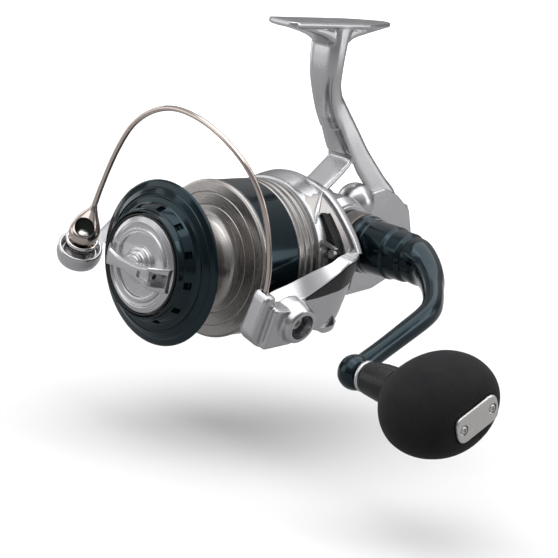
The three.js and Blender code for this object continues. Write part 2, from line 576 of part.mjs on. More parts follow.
// ---- crank and knob -----------------------------------------------------------
function addCrank() {
  const along = [0, -Math.cos(CRANK_DROP), -Math.sin(CRANK_DROP)];
  const across = [0, Math.sin(CRANK_DROP), -Math.cos(CRANK_DROP)];
  const at = (x, out) => [x, HANDLE_Y + along[1] * out, HANDLE_Z + along[2] * out];
  const scaled = (vector, size) => vector.map((value) => value * size);
  const cup = alongX(turned([[0, 29.3], [5.2, 29.3], [5.2, 27.8], [12.2, 27.8], [12.4, 29.5],
    [11.6, 31], [11.2, 46], [10.4, 47], [10.4, 54], [9.4, 55.4], [0, 55.4]]), HANDLE_Y, HANDLE_Z);
  const tilted = (x, out) => [x, along[1] * out, along[2] * out];
  const arm = loft([
    section(at(54, 0), scaled(across, 9.2), scaled(along, 9.2), 2),
    section(at(60, 1), scaled(across, 9), scaled(along, 8.4), 2.4),
    section(at(66.5, 4), scaled(across, 7.6), tilted(-2.2, 6), 2.4),
    section(at(72.5, 8.5), scaled(across, 6.2), tilted(-3.6, 4.4), 2.4),
    section(at(78, 14), scaled(across, 5.2), tilted(-3.2, 3.4), 2.4),
    section(at(83, 19.4), scaled(across, 4.7), tilted(-3, 3), 2.4),
    section(at(87, 24.6), scaled(across, 4.4), tilted(-3.6, 1.8), 2.4),
    section(at(89, 31), scaled(across, 4.2), tilted(-3.6, 0.4), 2.4),
    section(at(89.6, 43), scaled(across, 4), tilted(-3.5, 0), 2.4),
    section(at(90, 58), scaled(across, 3.9), tilted(-3.3, 0), 2.2),
    section(at(90.2, 71), scaled(across, 4.2), tilted(-3.6, 0), 2),
  ]);
  const [, knobY, knobZ] = at(0, CRANK_LENGTH);
  const eye = alongX(turned([[0, 85.4], [3.4, 85.8], [5.7, 87.4], [6.8, 90], [6.8, 92.4], [6.2, 94.8],
    [4.6, 95.6], [0, 95.6]]), knobY, knobZ);
  add('handle_cup', cup, BLUE);
  add('handle_arm', joined(arm, eye).subtract(cupRoom()), BLUE);
  addKnob(knobY, knobZ, along, across);
}

// The end of the cup grown by the working gap: the socket in the arm that it sits in.
function cupRoom() {
  return alongX(rod(10.8, 30, 55.7, PLAIN), HANDLE_Y, HANDLE_Z);
}

function addKnob(y, z, along, across) {
  add('knob_shaft', alongX(rod(2.5, 95.9, 138, 12), y, z), STEEL);
  add('knob_washer', alongX(ring(2.8, 6.2, 96.2, 98), y, z), SILVER);
  const sleeve = turned([[2.8, 98.3], [6.4, 98.3], [7.4, 106], [7.4, 112.3], [2.8, 112.3]]);
  add('knob_sleeve', alongX(sleeve, y, z), BLACK);
  const size = (vector, length) => vector.map((value) => value * length);
  const profile = [[112.6, 0.34], [115, 0.52], [119, 0.73], [124.6, 0.91], [132, 1], [139, 0.97],
    [145, 0.84], [149.2, 0.64], [151, 0.5]];
  const grip = loft(profile.map(([x, share]) => section(
    [x, y, z], size(along, 24 * share), size(across, 18.1 * share), 2)), 20);
  const bore = alongX(rod(2.8, 110, 138.4, 12), y, z);
  add('knob_grip', grip.subtract(bore), FOAM);
  const plate = loft([
    section([151.3, y, z], size(along, 11.2), size(across, 5.4), 4),
    section([152.3, y, z], size(along, 10.9), size(across, 5.1), 4),
  ], 16);
  add('knob_plate', plate, STEEL);
  for (const [i, side] of [-1, 1].entries()) {
    const [, screwY, screwZ] = size(along, 8 * side).map((value, k) => value + [0, y, z][k]);
    add(`knob_plate_screw_${i + 1}`, alongX(rod(1.5, 152.6, 153.4, 10), screwY, screwZ), STEEL);
  }
}

addBody();
addDrive();
addMainShaft();
addSpool();
addDragKnob();
addRotor();
addBail();
addCrank();

export default reel;
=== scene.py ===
"""Looks of a large saltwater spinning reel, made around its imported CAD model.

Shapes are drawn in millimetres in the reel's own axes: x across with the crank at +x,
y backwards from the rim of the spool lip, z up towards the rod. The rotor and the bail
are drawn with their arms level and then turned with the rotor. place() brings every
piece into the frame's metres.
"""
import json
import math

import bmesh
import bpy
import numpy as np
from mathutils import Matrix, Vector


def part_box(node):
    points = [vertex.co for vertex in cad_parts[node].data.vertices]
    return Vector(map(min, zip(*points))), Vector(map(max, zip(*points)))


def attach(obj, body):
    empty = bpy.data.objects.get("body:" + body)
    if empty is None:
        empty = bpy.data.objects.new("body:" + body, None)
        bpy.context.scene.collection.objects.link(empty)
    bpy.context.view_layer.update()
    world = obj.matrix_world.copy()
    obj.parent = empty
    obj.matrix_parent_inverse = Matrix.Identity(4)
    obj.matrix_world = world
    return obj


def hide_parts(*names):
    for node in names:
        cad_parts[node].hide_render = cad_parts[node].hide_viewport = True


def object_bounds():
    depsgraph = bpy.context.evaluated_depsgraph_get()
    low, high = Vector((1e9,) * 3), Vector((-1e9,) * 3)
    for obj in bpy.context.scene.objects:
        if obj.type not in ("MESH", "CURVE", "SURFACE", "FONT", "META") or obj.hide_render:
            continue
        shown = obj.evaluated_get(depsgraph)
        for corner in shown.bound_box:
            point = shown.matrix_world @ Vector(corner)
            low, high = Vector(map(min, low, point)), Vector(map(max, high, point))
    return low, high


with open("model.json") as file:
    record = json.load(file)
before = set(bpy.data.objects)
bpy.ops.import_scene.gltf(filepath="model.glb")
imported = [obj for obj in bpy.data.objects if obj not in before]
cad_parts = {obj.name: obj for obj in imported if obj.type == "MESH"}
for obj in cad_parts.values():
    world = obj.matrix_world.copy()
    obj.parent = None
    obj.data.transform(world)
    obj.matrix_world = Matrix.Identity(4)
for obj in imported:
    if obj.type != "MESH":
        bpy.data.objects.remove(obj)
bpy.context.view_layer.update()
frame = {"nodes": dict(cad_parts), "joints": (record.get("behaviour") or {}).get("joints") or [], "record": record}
MM = 0.001

# ---- places taken from the frame ---------------------------------------------------
JOINTS = {joint["name"]: joint for joint in frame["joints"]}
LIP_FRONT_Y = -9.8                    # the front edge of the lip ring, ahead of its rim
lip_low, lip_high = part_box("spool_lip_ring")
ORIGIN = Vector((
    (lip_low.x + lip_high.x) / 2,
    lip_low.y - LIP_FRONT_Y * MM,
    (lip_low.z + lip_high.z) / 2,
))
bail_axis = JOINTS["bail_flip"]["axis"]
TURN = math.atan2(-bail_axis[2], bail_axis[0])
TO_ROW = Matrix.Translation(ORIGIN) @ Matrix.Scale(MM, 4)
TO_ROTOR = TO_ROW @ Matrix.Rotation(TURN, 4, "Y")
ROTOR_BODIES = ("rotor", "bail", "line_roller")     # their pieces are drawn in the rotor's axes


def in_reel(point):
    return (Vector(point) - ORIGIN) / MM


def in_rotor(point):
    return Matrix.Rotation(-TURN, 3, "Y") @ in_reel(point)


HANDLE = in_reel(JOINTS["handle_turn"]["pos_m"])
KNOB = in_reel(JOINTS["knob_spin"]["pos_m"])
PIVOT_Y = in_rotor(JOINTS["bail_flip"]["pos_m"]).y
ROLLER = in_rotor(JOINTS["line_roller_spin"]["pos_m"])
ROLLER_AXIS = Matrix.Rotation(-TURN, 3, "Y") @ Vector(JOINTS["line_roller_spin"]["axis"])
FOOT_TOP = in_reel((0, 0, 0)).z
FOOT_MIDDLE_Y = in_reel((0, 0, 0)).y

# ---- main sizes, in millimetres ----------------------------------------------------
FOOT_LENGTH, FOOT_WIDTH, FOOT_THICKNESS = 66, 16.6, 2.2
LIP_RADIUS = 33.5
SKIRT_RADIUS = 32.2
ARBOR_RADIUS = 15.3
REAR_WALL_Y = 26.5
SKIRT_END_Y = 57.5
DRUM_RADIUS = 33.1                     # of the rotor, where the cone of its rim starts
PIVOT_HOLE = 2.4                       # radius of the holes for the bail's pivots
ROUND = 144                            # facets round most turned pieces
FINE = 180                             # and round the largest ones


# ---- curves and meshes -------------------------------------------------------------
def smooth_rows(rows, steps):
    """Rows of numbers with Catmull-Rom rows filled in between them."""
    rows = np.array(rows, float)
    ends = np.vstack([2 * rows[0] - rows[1], rows, 2 * rows[-1] - rows[-2]])
    out = []
    for a, b, c, d in zip(ends, ends[1:], ends[2:], ends[3:]):
        for t in np.arange(steps) / steps:
            out.append(0.5 * (2 * b + (c - a) * t + (2 * a - 5 * b + 4 * c - d) * t ** 2
                              + (3 * b - a - 3 * c + d) * t ** 3))
    out.append(rows[-1])
    return np.array(out)


def rounded(points, radius, steps=4):
    """A closed outline with its corners rounded. A point may carry a radius of its own."""
    out = []
    count = len(points)
    for i, point in enumerate(points):
        here = np.array(point[:2], float)
        before = np.array(points[i - 1][:2], float) - here
        after = np.array(points[(i + 1) % count][:2], float) - here
        wanted = point[2] if len(point) > 2 else radius
        reach_before, reach_after = np.linalg.norm(before), np.linalg.norm(after)
        cut = min(wanted, 0.45 * reach_before, 0.45 * reach_after)
        if cut < 1e-3:
            out.append(here)
            continue
        start = here + before / reach_before * cut
        end = here + after / reach_after * cut
        for t in np.linspace(0, 1, steps + 1):
            out.append((1 - t) ** 2 * start + 2 * t * (1 - t) * here + t ** 2 * end)
    return [tuple(p) for p in out]


def added(name, data):
    """A new object, in the scene."""
    thing = bpy.data.objects.new(name, data)
    bpy.context.scene.collection.objects.link(thing)
    return thing


def new_object(name, vertices, faces):
    mesh = bpy.data.meshes.new(name)
    mesh.from_pydata([tuple(v) for v in vertices], [], faces)
    return tidy(added(name, mesh))


def tidy(shape):
    """Welds doubled points, drops flat faces and turns every face outwards."""
    work = bmesh.new()
    work.from_mesh(shape.data)
    bmesh.ops.remove_doubles(work, verts=work.verts, dist=1e-4)
    bmesh.ops.dissolve_degenerate(work, edges=work.edges, dist=1e-5)
    bmesh.ops.recalc_face_normals(work, faces=work.faces)
    if work.calc_volume(signed=True) < 0:
        bmesh.ops.reverse_faces(work, faces=work.faces)
    work.to_mesh(shape.data)
    work.free()
    return shape


def turned(profile, fillet=0.25, segments=ROUND, steps=3):
    """A [radius, y] outline turned about the Y axis. Its corners on the axis stay sharp."""
    corners = [(0, point[1], 0) if point[0] == 0 else point for point in profile]
    outline = [(max(r, 0.0), y) for r, y in rounded(corners, fillet, steps)]
    vertices, faces = [], []
    for i in range(segments):
        angle = 2 * math.pi * i / segments
        vertices += [(r * math.cos(angle), y, r * math.sin(angle)) for r, y in outline]
    count = len(outline)
    for i in range(segments):
        for j in range(count):
            k = (j + 1) % count
            if outline[j][0] < 1e-6 and outline[k][0] < 1e-6:
                continue
            here, there = i * count, (i + 1) % segments * count
            faces.append((here + j, here + k, there + k, there + j))
    return new_object("turned", vertices, faces)


def rod(radius, start, end, sides=ROUND):
    """A plain round rod along the Y axis."""
    return turned([(0, start), (radius, start), (radius, end), (0, end)], 0, sides)


def skinned(rings):
    """Skins rings of points, each ring with the same number of points."""
    rings = np.array(rings, float)
    levels, count = rings.shape[:2]
    vertices = rings.reshape(-1, 3)
    faces = []
    for i in range(levels - 1):
        for j in range(count):
            k = (j + 1) % count
            faces.append((i * count + j, i * count + k, (i + 1) * count + k, (i + 1) * count + j))
    faces.append(tuple(range(count)))
    faces.append(tuple((levels - 1) * count + j for j in range(count)))
    return new_object("skinned", vertices, faces)


def station(centre, across, up, square=2.0):
    """A loft section: its middle, two half axes, and its squareness (2 is an ellipse)."""
    return [*centre, *across, *up, square]


def upright(x, y, z, half_width, half_height, square=2.0):
    """A loft section that lies square to the Y axis."""
    return station((x, y, z), (half_width, 0, 0), (0, 0, half_height), square)


def loft(stations, sides=48, steps=6, end=0.0):
    """A smooth loft through the stations. end is the length of a rounded cap on the last one."""
    rows = smooth_rows(stations, steps)
    rings = [ring_of(row, sides) for row in rows]
    if end:
        rings += end_rings(rings[-1], rows[-1, :3], rows[-1, :3] - rows[-2, :3], end)
    return skinned(rings)


def ring_of(row, sides):
    angles = 2 * np.pi * (np.arange(sides) + 0.5) / sides
    power = 2 / max(row[9], 1.0)
    c = np.sign(np.cos(angles)) * np.abs(np.cos(angles)) ** power
    s = np.sign(np.sin(angles)) * np.abs(np.sin(angles)) ** power
    return row[:3] + c[:, None] * row[3:6] + s[:, None] * row[6:9]


def faceted(sections):
    """A hard-edged bar along x: its sections are lists of (y, z) corners at each x."""
    return skinned([[(x, y, z) for y, z in corners] for x, corners in sections])


def chamfered_box(front, back, low, high, chamfer):
    """Corners of a section with its two front edges cut off."""
    return [(back, low), (front + chamfer, low), (front, low + chamfer), (front, high - chamfer),
            (front + chamfer, high), (back, high)]


def end_rings(ring, centre, direction, length):
    """Rings that shrink from the given one over a rounded cap."""
    direction = direction / np.linalg.norm(direction) * length
    out = []
    for t in np.linspace(0, 0.94, 6)[1:]:
        shrink = math.cos(t * math.pi / 2)
        out.append(centre + direction * math.sin(t * math.pi / 2) + (ring - centre) * shrink)
    return out


def tube(path, radii, steps=10, sides=24):
    """A round bar along a smooth path, with one radius for each of its points."""
    rows = smooth_rows([[*p, r] for p, r in zip(path, radii)], steps)
    centres = rows[:, :3]
    along = np.gradient(centres, axis=0)
    along /= np.linalg.norm(along, axis=1)[:, None]
    side = np.cross(along[0], [0.3, 1, 0.2])
    rings = []
    angles = 2 * np.pi * np.arange(sides) / sides
    for centre, direction, size in zip(centres, along, rows[:, 3]):
        side = side - direction * side.dot(direction)
        side /= np.linalg.norm(side)
        other = np.cross(direction, side)
        rings.append(centre + size * (np.cos(angles)[:, None] * side + np.sin(angles)[:, None] * other))
    return skinned(rings)


def slab(outline, from_x, to_x, bevel=0.5, corner=1.0):
    """A [y, z] outline with rounded corners and bevelled edges, from one x to another."""
    flat = rounded(outline, corner)
    vertices = [(from_x, y, z) for y, z in flat] + [(to_x, y, z) for y, z in flat]
    count = len(flat)
    faces = [tuple(range(count)), tuple(range(count, 2 * count))]
    faces += [(i, (i + 1) % count, (i + 1) % count + count, i + count) for i in range(count)]
    shape = new_object("slab", vertices, faces)
    return bevelled(shape, bevel) if bevel else shape


def block(low, high, bevel=0.0):
    outline = [(low[1], low[2]), (high[1], low[2]), (high[1], high[2]), (low[1], high[2])]
    return slab(outline, low[0], high[0], bevel, corner=0)


def ball(centre, radius):
    """A ball as a loft along y."""
    x, y, z = centre
    rows = []
    for angle in np.linspace(0.02, math.pi - 0.02, 32):
        width = radius * math.sin(angle)
        rows.append(upright(x, y - radius * math.cos(angle), z, width, width))
    return loft(rows, sides=64, steps=1)


def along_x(shape, y, z):
    """Lays a shape drawn about the Y axis along X, centred on (y, z)."""
    shape.data.transform(Matrix.Translation((0, y, z)) @ Matrix.Rotation(math.radians(-90), 4, "Z"))
    return shape


def on_handle(shape):
    """Lays a shape drawn about the Y axis on the crank's axis."""
    return along_x(shape, HANDLE.y, HANDLE.z)


def on_knob(shape):
    """Lays a shape drawn about the Y axis on the knob's axis."""
    return along_x(shape, KNOB.y, KNOB.z)


def on_pivot(shape):
    """Lays a shape drawn about the Y axis on the bail's axis."""
    return along_x(shape, PIVOT_Y, 0)


def on_roller(shape):
    """Stands a shape drawn about the Y axis on the line roller's axis."""
    turn = Vector((0, 1, 0)).rotation_difference(ROLLER_AXIS).to_matrix().to_4x4()
    shape.data.transform(Matrix.Translation(ROLLER) @ turn)
    return shape


# ---- modifiers, applied at once ----------------------------------------------------
def applied(shape):
    bpy.context.view_layer.update()
    evaluated = shape.evaluated_get(bpy.context.evaluated_depsgraph_get())
    mesh = bpy.data.meshes.new_from_object(evaluated)
    shape.modifiers.clear()
    shape.data = mesh
    return shape


def discard(shape):
    bpy.data.objects.remove(shape)


def bevelled(shape, width, segments=3, angle=35):
    modifier = shape.modifiers.new("bevel", "BEVEL")
    modifier.width = width
    modifier.segments = segments
    modifier.limit_method = "ANGLE"
    modifier.angle_limit = math.radians(angle)
    modifier.harden_normals = False
    return applied(shape)


def boolean(shape, tools, operation):
    for tool in tools:
        modifier = shape.modifiers.new("boolean", "BOOLEAN")
        modifier.operation = operation
        modifier.object = tool
        modifier.solver = "MANIFOLD"
        applied(shape)
        discard(tool)
    return shape


def cut(shape, *tools):
    return boolean(shape, tools, "DIFFERENCE")


def united(shape, *tools):
    return boolean(shape, tools, "UNION")


def cast(shapes, voxel, smoothing):
    """One casting from overlapping shapes: their joints run into soft fillets."""
    work = bmesh.new()
    for shape in shapes:
        work.from_mesh(shape.data)
        discard(shape)
    mesh = bpy.data.meshes.new("cast")
    work.to_mesh(mesh)
    work.free()
    whole = added("cast", mesh)
    remesh = whole.modifiers.new("remesh", "REMESH")
    remesh.mode = "VOXEL"
    remesh.voxel_size = voxel
    smooth = whole.modifiers.new("smooth", "SMOOTH")
    smooth.factor = 0.5
    smooth.iterations = smoothing
    return applied(whole)


def place(name, shape, finish, body, *nodes, sharp=38):
    """Brings a finished shape into the frame, names it, gives it its finish and body, and hides the CAD nodes it
    replaces.
    """
    shape.name = name
    shape.data.name = name
    shape.data.transform(TO_ROTOR if body in ROTOR_BODIES else TO_ROW)
    shape.data.polygons.foreach_set("use_smooth", [True] * len(shape.data.polygons))
    shape.data.set_sharp_from_angle(angle=math.radians(sharp))
    weighted = shape.modifiers.new("weighted_normal", "WEIGHTED_NORMAL")
    weighted.keep_sharp = True
    shape.data.materials.clear()
    shape.data.materials.append(MATERIALS[finish])
    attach(shape, body)
    if nodes:
        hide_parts(*nodes)


# ---- shader nodes ------------------------------------------------------------------
def feed(socket, value):
    """Sets a node's input, or links it when the value is an output."""
    if isinstance(value, bpy.types.NodeSocket):
        socket.id_data.links.new(value, socket)
    else:
        socket.default_value = value


def add_node(tree, kind, settings=None, **inputs):
    node = tree.nodes.new(kind)
    for key, value in (settings or {}).items():
        setattr(node, key, value)
    for key, value in inputs.items():
        feed(node.inputs[key.replace("_", " ")], value)
    return node


def mixed(tree, share, first, second):
    """The first colour where share is 0, running to the second where it is 1."""
    mix = add_node(tree, "ShaderNodeMix", {"data_type": "RGBA"})
    feed(mix.inputs[0], share)
    feed(mix.inputs[6], first)
    feed(mix.inputs[7], second)
    return mix.outputs[2]


def grey(level):
    return (level, level, level, 1)


# ---- finishes ----------------------------------------------------------------------
class Shader:
    """A material's node tree with one Principled shader, and short ways to add to it."""

    def __init__(self, name, colour, metallic, roughness, **sockets):
        self.material = bpy.data.materials.new(name)
        self.material.use_nodes = True
        self.tree = self.material.node_tree
        self.shader = self.tree.nodes["Principled BSDF"]
        self.set("Base Color", (*colour, 1))
        self.set("Metallic", metallic)
        self.set("Roughness", roughness)
        for socket, value in sockets.items():
            self.set(socket.replace("_", " "), value)
        self.colour = colour
        self.roughness = roughness
        self.place = self.add("ShaderNodeTexCoord").outputs["Object"]

    def set(self, socket, value):
        self.shader.inputs[socket].default_value = value

    def add(self, kind, settings=None, **inputs):
        return add_node(self.tree, kind, settings, **inputs)

    def math(self, operation, first, second=0.0):
        node = self.add("ShaderNodeMath", {"operation": operation})
        feed(node.inputs[0], first)
        feed(node.inputs[1], second)
        return node.outputs[0]

    def noise(self, size_mm, detail=3.0, vector=None):
        """Noise from 0 to 1 whose features are about size_mm across."""
        return self.add("ShaderNodeTexNoise", Vector=vector or self.place, Scale=1 / (size_mm * MM),
                        Detail=detail).outputs["Fac"]

    def spread(self, value, low, high):
        """Brings a 0 to 1 value to the range from low to high."""
        node = self.add("ShaderNodeMapRange", Value=value, From_Min=0.3, From_Max=0.7,
                        To_Min=low, To_Max=high)
        return node.outputs["Result"]

    def vary_roughness(self, value, amount):
        feed(self.shader.inputs["Roughness"],
             self.spread(value, self.roughness - amount, self.roughness + amount))

    def vary_colour(self, value, darker, lighter):
        """Mixes the colour between a darker and a lighter share of itself."""
        dark = (*[c * darker for c in self.colour], 1)
        light = (*[min(c * lighter, 1) for c in self.colour], 1)
        feed(self.shader.inputs["Base Color"], mixed(self.tree, value, dark, light))

    def bump(self, height, depth_mm, strength=1.0):
        node = self.add("ShaderNodeBump", Height=height, Distance=depth_mm * MM, Strength=strength)
        feed(self.shader.inputs["Normal"], node.outputs["Normal"])

    def about_y(self, middle, wear=0.004):
        """Coordinates that run round the Y axis through middle, so that noise turns into rings."""
        parts = self.add("ShaderNodeSeparateXYZ", Vector=self.place)
        x = self.math("SUBTRACT", parts.outputs["X"], middle.x)
        z = self.math("SUBTRACT", parts.outputs["Z"], middle.z)
        radius = self.math("SQRT", self.math("ADD", self.math("MULTIPLY", x, x),
                                             self.math("MULTIPLY", z, z)))
        slow = self.math("MULTIPLY", self.math("ADD", x, z), wear)
        return self.add("ShaderNodeCombineXYZ", X=radius, Y=parts.outputs["Y"], Z=slow).outputs[0]

    def brushed_round(self, amount):
        """A highlight stretched across turning marks about the Y axis."""
        tangent = self.add("ShaderNodeTangent", {"direction_type": "RADIAL", "axis": "Y"})
        feed(self.shader.inputs["Tangent"], tangent.outputs[0])
        self.set("Anisotropic", amount)


def silver_paint():
    s = Shader("silver_paint", (0.50, 0.50, 0.512), 0.92, 0.26, Coat_Weight=0.15, Coat_Roughness=0.1)
    s.vary_colour(s.noise(14, 2), 0.95, 1.05)
    s.vary_roughness(s.noise(9, 3), 0.03)
    return s.material


def blue_anodised():
    s = Shader("blue_anodised", (0.006, 0.018, 0.024), 0.85, 0.16, Coat_Weight=0.3, Coat_Roughness=0.06)
    s.vary_colour(s.noise(6, 3), 0.85, 1.2)
    s.vary_roughness(s.noise(0.5, 3, s.about_y(ORIGIN)), 0.04)
    s.bump(s.noise(0.25, 2), 0.0015)
    return s.material


def brushed_aluminium():
    s = Shader("brushed_aluminium", (0.35, 0.335, 0.325), 1.0, 0.25)
    rings = s.noise(0.12, 4, s.about_y(ORIGIN, 0.02))
    s.vary_colour(rings, 0.78, 1.18)
    s.vary_roughness(rings, 0.08)
    s.bump(rings, 0.006)
    s.brushed_round(0.85)
    return s.material


def grey_collar():
    s = Shader("grey_collar", (0.125, 0.115, 0.11), 0.75, 0.42)
    s.vary_colour(s.noise(0.3, 3), 0.85, 1.15)
    s.bump(s.noise(0.2, 2), 0.004)
    return s.material


def steel():
    s = Shader("steel", (0.60, 0.585, 0.57), 1.0, 0.3)
    grain = s.noise(0.15, 4, s.about_y(ORIGIN, 0.3))
    s.vary_colour(grain, 0.88, 1.1)
    s.vary_roughness(grain, 0.07)
    s.bump(grain, 0.003)
    return s.material


def bail_steel():
    s = Shader("bail_steel", (0.52, 0.45, 0.415), 1.0, 0.13)
    s.vary_roughness(s.noise(1.2, 3), 0.04)
    s.vary_colour(s.noise(5, 2), 0.93, 1.06)
    s.bump(s.noise(0.4, 2), 0.0012)
    return s.material


def roller_chrome():
    s = Shader("roller_chrome", (0.66, 0.64, 0.63), 1.0, 0.07)
    s.vary_roughness(s.noise(0.8, 3), 0.025)
    s.vary_colour(s.noise(3, 2), 0.95, 1.05)
    return s.material


def brass():
    s = Shader("brass", (0.62, 0.45, 0.19), 1.0, 0.28)
    s.vary_colour(s.noise(2, 3), 0.85, 1.1)
    s.vary_roughness(s.noise(0.4, 3), 0.08)
    return s.material


def carbon_fibre():
    s = Shader("carbon_fibre", (0.02, 0.02, 0.021), 0.1, 0.45, Coat_Weight=0.2)
    weave = s.add("ShaderNodeTexChecker", Vector=s.place, Scale=900.0).outputs["Fac"]
    s.vary_colour(weave, 0.6, 2.2)
    s.bump(s.math("ADD", weave, s.noise(0.2, 2)), 0.02)
    return s.material


def black_plastic():
    s = Shader("black_plastic", (0.006, 0.0065, 0.007), 0.0, 0.3, Specular_IOR_Level=0.35)
    s.vary_roughness(s.noise(0.8, 4), 0.07)
    s.vary_colour(s.noise(3, 2), 0.8, 1.3)
    s.bump(s.noise(0.18, 2), 0.004)
    return s.material


def black_rubber():
    s = Shader("black_rubber", (0.008, 0.008, 0.009), 0.0, 0.55)
    s.vary_colour(s.noise(0.8, 3), 0.7, 1.5)
    s.bump(s.noise(0.2, 3), 0.01)
    return s.material


def grip_foam():
    s = Shader("grip_foam", (0.0085, 0.0085, 0.0095), 0.0, 0.85, Sheen_Weight=0.03, Specular_IOR_Level=0.22)
    cells = s.add("ShaderNodeTexVoronoi", Vector=s.place, Scale=1 / (0.42 * MM)).outputs["Distance"]
    s.vary_colour(s.noise(0.7, 4), 0.55, 1.7)
    s.vary_roughness(s.noise(9, 2), 0.06)
    s.bump(s.math("ADD", cells, s.math("MULTIPLY", s.noise(0.9, 3), 0.8)), 0.05, 0.8)
    return s.material


MATERIALS = {make.__name__: make() for make in (
    silver_paint, blue_anodised, brushed_aluminium, grey_collar, steel, bail_steel, roller_chrome, brass,
    carbon_fibre, black_plastic, black_rubber, grip_foam)}


# ---- foot, stem and gearbox --------------------------------------------------------
def stem_station(y, z, half_width, half_thick, lean, square=3.4):
    """A stem section square to a line that leans back from upright by lean radians."""
    return station((0, y, z), (half_width, 0, 0),
                   (0, math.cos(lean) * half_thick, math.sin(lean) * half_thick), square)


def stem_loft(rows):
    return loft([stem_station(*row) for row in rows], sides=64, steps=8)


def trunk():
    return stem_loft([
        (83.4, 98.2, 8.2, 6.6, 0), (82.7, 92, 8.2, 5.0, 0), (82.3, 84.5, 8.1, 4.5, 0),
        (82.6, 77.5, 7.6, 4.3, 0.1), (84.1, 70.5, 6.5, 4.4, 0.3), (87.6, 62.5, 6.0, 4.9, 0.55),
        (92.0, 55.5, 6.2, 4.8, 0.65),
    ])


def front_leg():
    return stem_loft([
        (87.6, 62, 5.4, 4.0, 0.55), (92.9, 54, 5.7, 3.4, 0.55), (96.0, 47.0, 6.3, 2.2, 0.4),
        (98.6, 41.8, 6.9, 1.6, 0.12), (98.2, 38.9, 7.0, 1.4, -0.5), (95.2, 36.0, 7.0, 1.35, -0.85, 6),
        (89.7, 31.4, 7.0, 1.35, -0.9, 6), (83.9, 26.9, 7.0, 1.4, -0.9, 6), (79.8, 22.6, 7.0, 1.5, -0.8, 6),
    ])


def rear_leg():
    """The wide leg behind the window, its front edge stepped down towards the far side."""
    leg = stem_loft([
        (86.6, 66, 5.8, 4.2, 0.5), (91.6, 58.4, 6.2, 5.0, 0.68, 4), (98.0, 49.2, 7.0, 5.7, 0.75, 5),
        (104.8, 40.3, 7.6, 5.9, 0.75, 6), (115.5, 28.7, 8.6, 6.3, 0.78, 7), (123.0, 18.6, 9.4, 8.4, 0.7, 7),
        (125.0, 5, 9.6, 10.0, 0.1, 7), (121, -8, 10.0, 10.0, -0.35, 7),
    ])
    under = [(100, 20), (90, 30)]
    front = [(95, 41.6), (99.8, 37), (103.7, 33.3), (108.3, 29), (114.5, 23.3), (116, 20), *under]
    step = [(97, 44), (104, 41), (108, 37), (112.5, 32.8), (118.5, 26.8), (120, 20), *under]
    far_half = [(101, 46), (112, 56), (136, 32), (134, 20), *under, (97, 44)]
    reliefs = [slab(outline, -20, to_x, 0, 0)
               for outline, to_x in ((front, 20), (step, 6.6), (far_half, 1.5))]
    return cut(leg, *reliefs)


def foot_plate():
    front, back = FOOT_MIDDLE_Y - FOOT_LENGTH / 2, FOOT_MIDDLE_Y + FOOT_LENGTH / 2
    half = FOOT_WIDTH / 2
    outline = [(front, -half, 3.4), (back - 16, -half, 8), (back, -2.6, 2.2), (back, 2.6, 2.2),
               (back - 16, half, 8), (front, half, 3.4)]
    plate = slab([(y, x, r) for y, x, r in outline], FOOT_TOP - FOOT_THICKNESS, FOOT_TOP, 0.45, 1)
    swap = Matrix(((0, 0, 1, 0), (0, 1, 0, 0), (1, 0, 0, 0), (0, 0, 0, 1)))
    plate.data.transform(swap)
    return tidy(plate)


def foot_keel():
    """The wedge under the foot that runs out to its two ends."""
    under = FOOT_TOP - FOOT_THICKNESS + 0.3
    rows = [(53, 0.5, 7.2), (60, 1.6, 7.4), (68, 3.4, 7.4), (74, 5.4, 7.2), (79, 8, 7.0),
            (86, 8, 7.0), (91, 5, 6.8), (98, 3.1, 6.2), (106, 1.6, 4.8), (113, 0.5, 3)]
    return loft([upright(0, y, under - depth / 2, half, depth / 2 + 0.4, 3.2)
                 for y, depth, half in rows], sides=48, steps=5)


BODY_OUTLINE = [
    (79.5, -16), (86, -18.7), (103, -19.7), (120, -17.8), (130, -13.7), (136.6, -5),
    (139.5, 6.7), (134, 19.4), (126, 19.4), (121.5, 14.2), (117, 11.6), (98, 11.6), (88, 16), (79.5, 22.6),
]


def gearbox():
    main = slab(BODY_OUTLINE, -12.3, 9.6, bevel=1.4, corner=1.6)
    flank = slab([(112, 26.2), (119.3, 27.6), (128, 24.2), (137.2, 17.2), (140.6, 6.7), (137.4, -4.4),
                  (130.5, -13), (118, -16.6), (104, -17)], 6.8, 10.6, bevel=0.7, corner=1.2)
    housing = on_handle(turned([(0, -12.3), (18.6, -12.3), (18.6, -3), (0, -3)], 1))
    boss = on_handle(turned([
        (0, 0), (16.9, 0), (16.9, 13.4), (16.6, 13.9), (14.6, 17.1), (14.4, 19), (0, 19)], 0.35))
    dome = ball((5.4, 106.2, 21.4), 8.2)
    front = turned([(0, 64), (27, 64), (27, 77), (19, 80), (0, 80)], 0.6)
    chin = loft([
        upright(0, 84, -15.5, 9, 3.5, 3), upright(0, 98, -17, 8.6, 4.4, 3),
        upright(0, 116, -15.6, 8, 4.4, 3), upright(0, 128, -11.6, 7, 3.2, 3),
    ])
    return united(main, flank, housing, boss, dome, front, chin)


def body_room():
    """What the gearbox holds inside, to be taken out of the casting."""
    return [
        on_handle(rod(16.9, -13, -3.4)),
        block((-9, 82, -14), (8.2, 131, 5.2)),
        block((-13, 84, -14), (-8, 131, 8)),
        rod(8.6, 73.2, 84),
        turned([(0, 62), (20.6, 62), (20.6, 66.4), (10.3, 66.4), (10.3, 74), (0, 74)], 0),
        on_handle(turned([(0, -13), (5, -13), (5, 11.5), (10.5, 11.5), (10.5, 20), (0, 20)], 0)),
        rod(3.6, 130, 134),
    ]


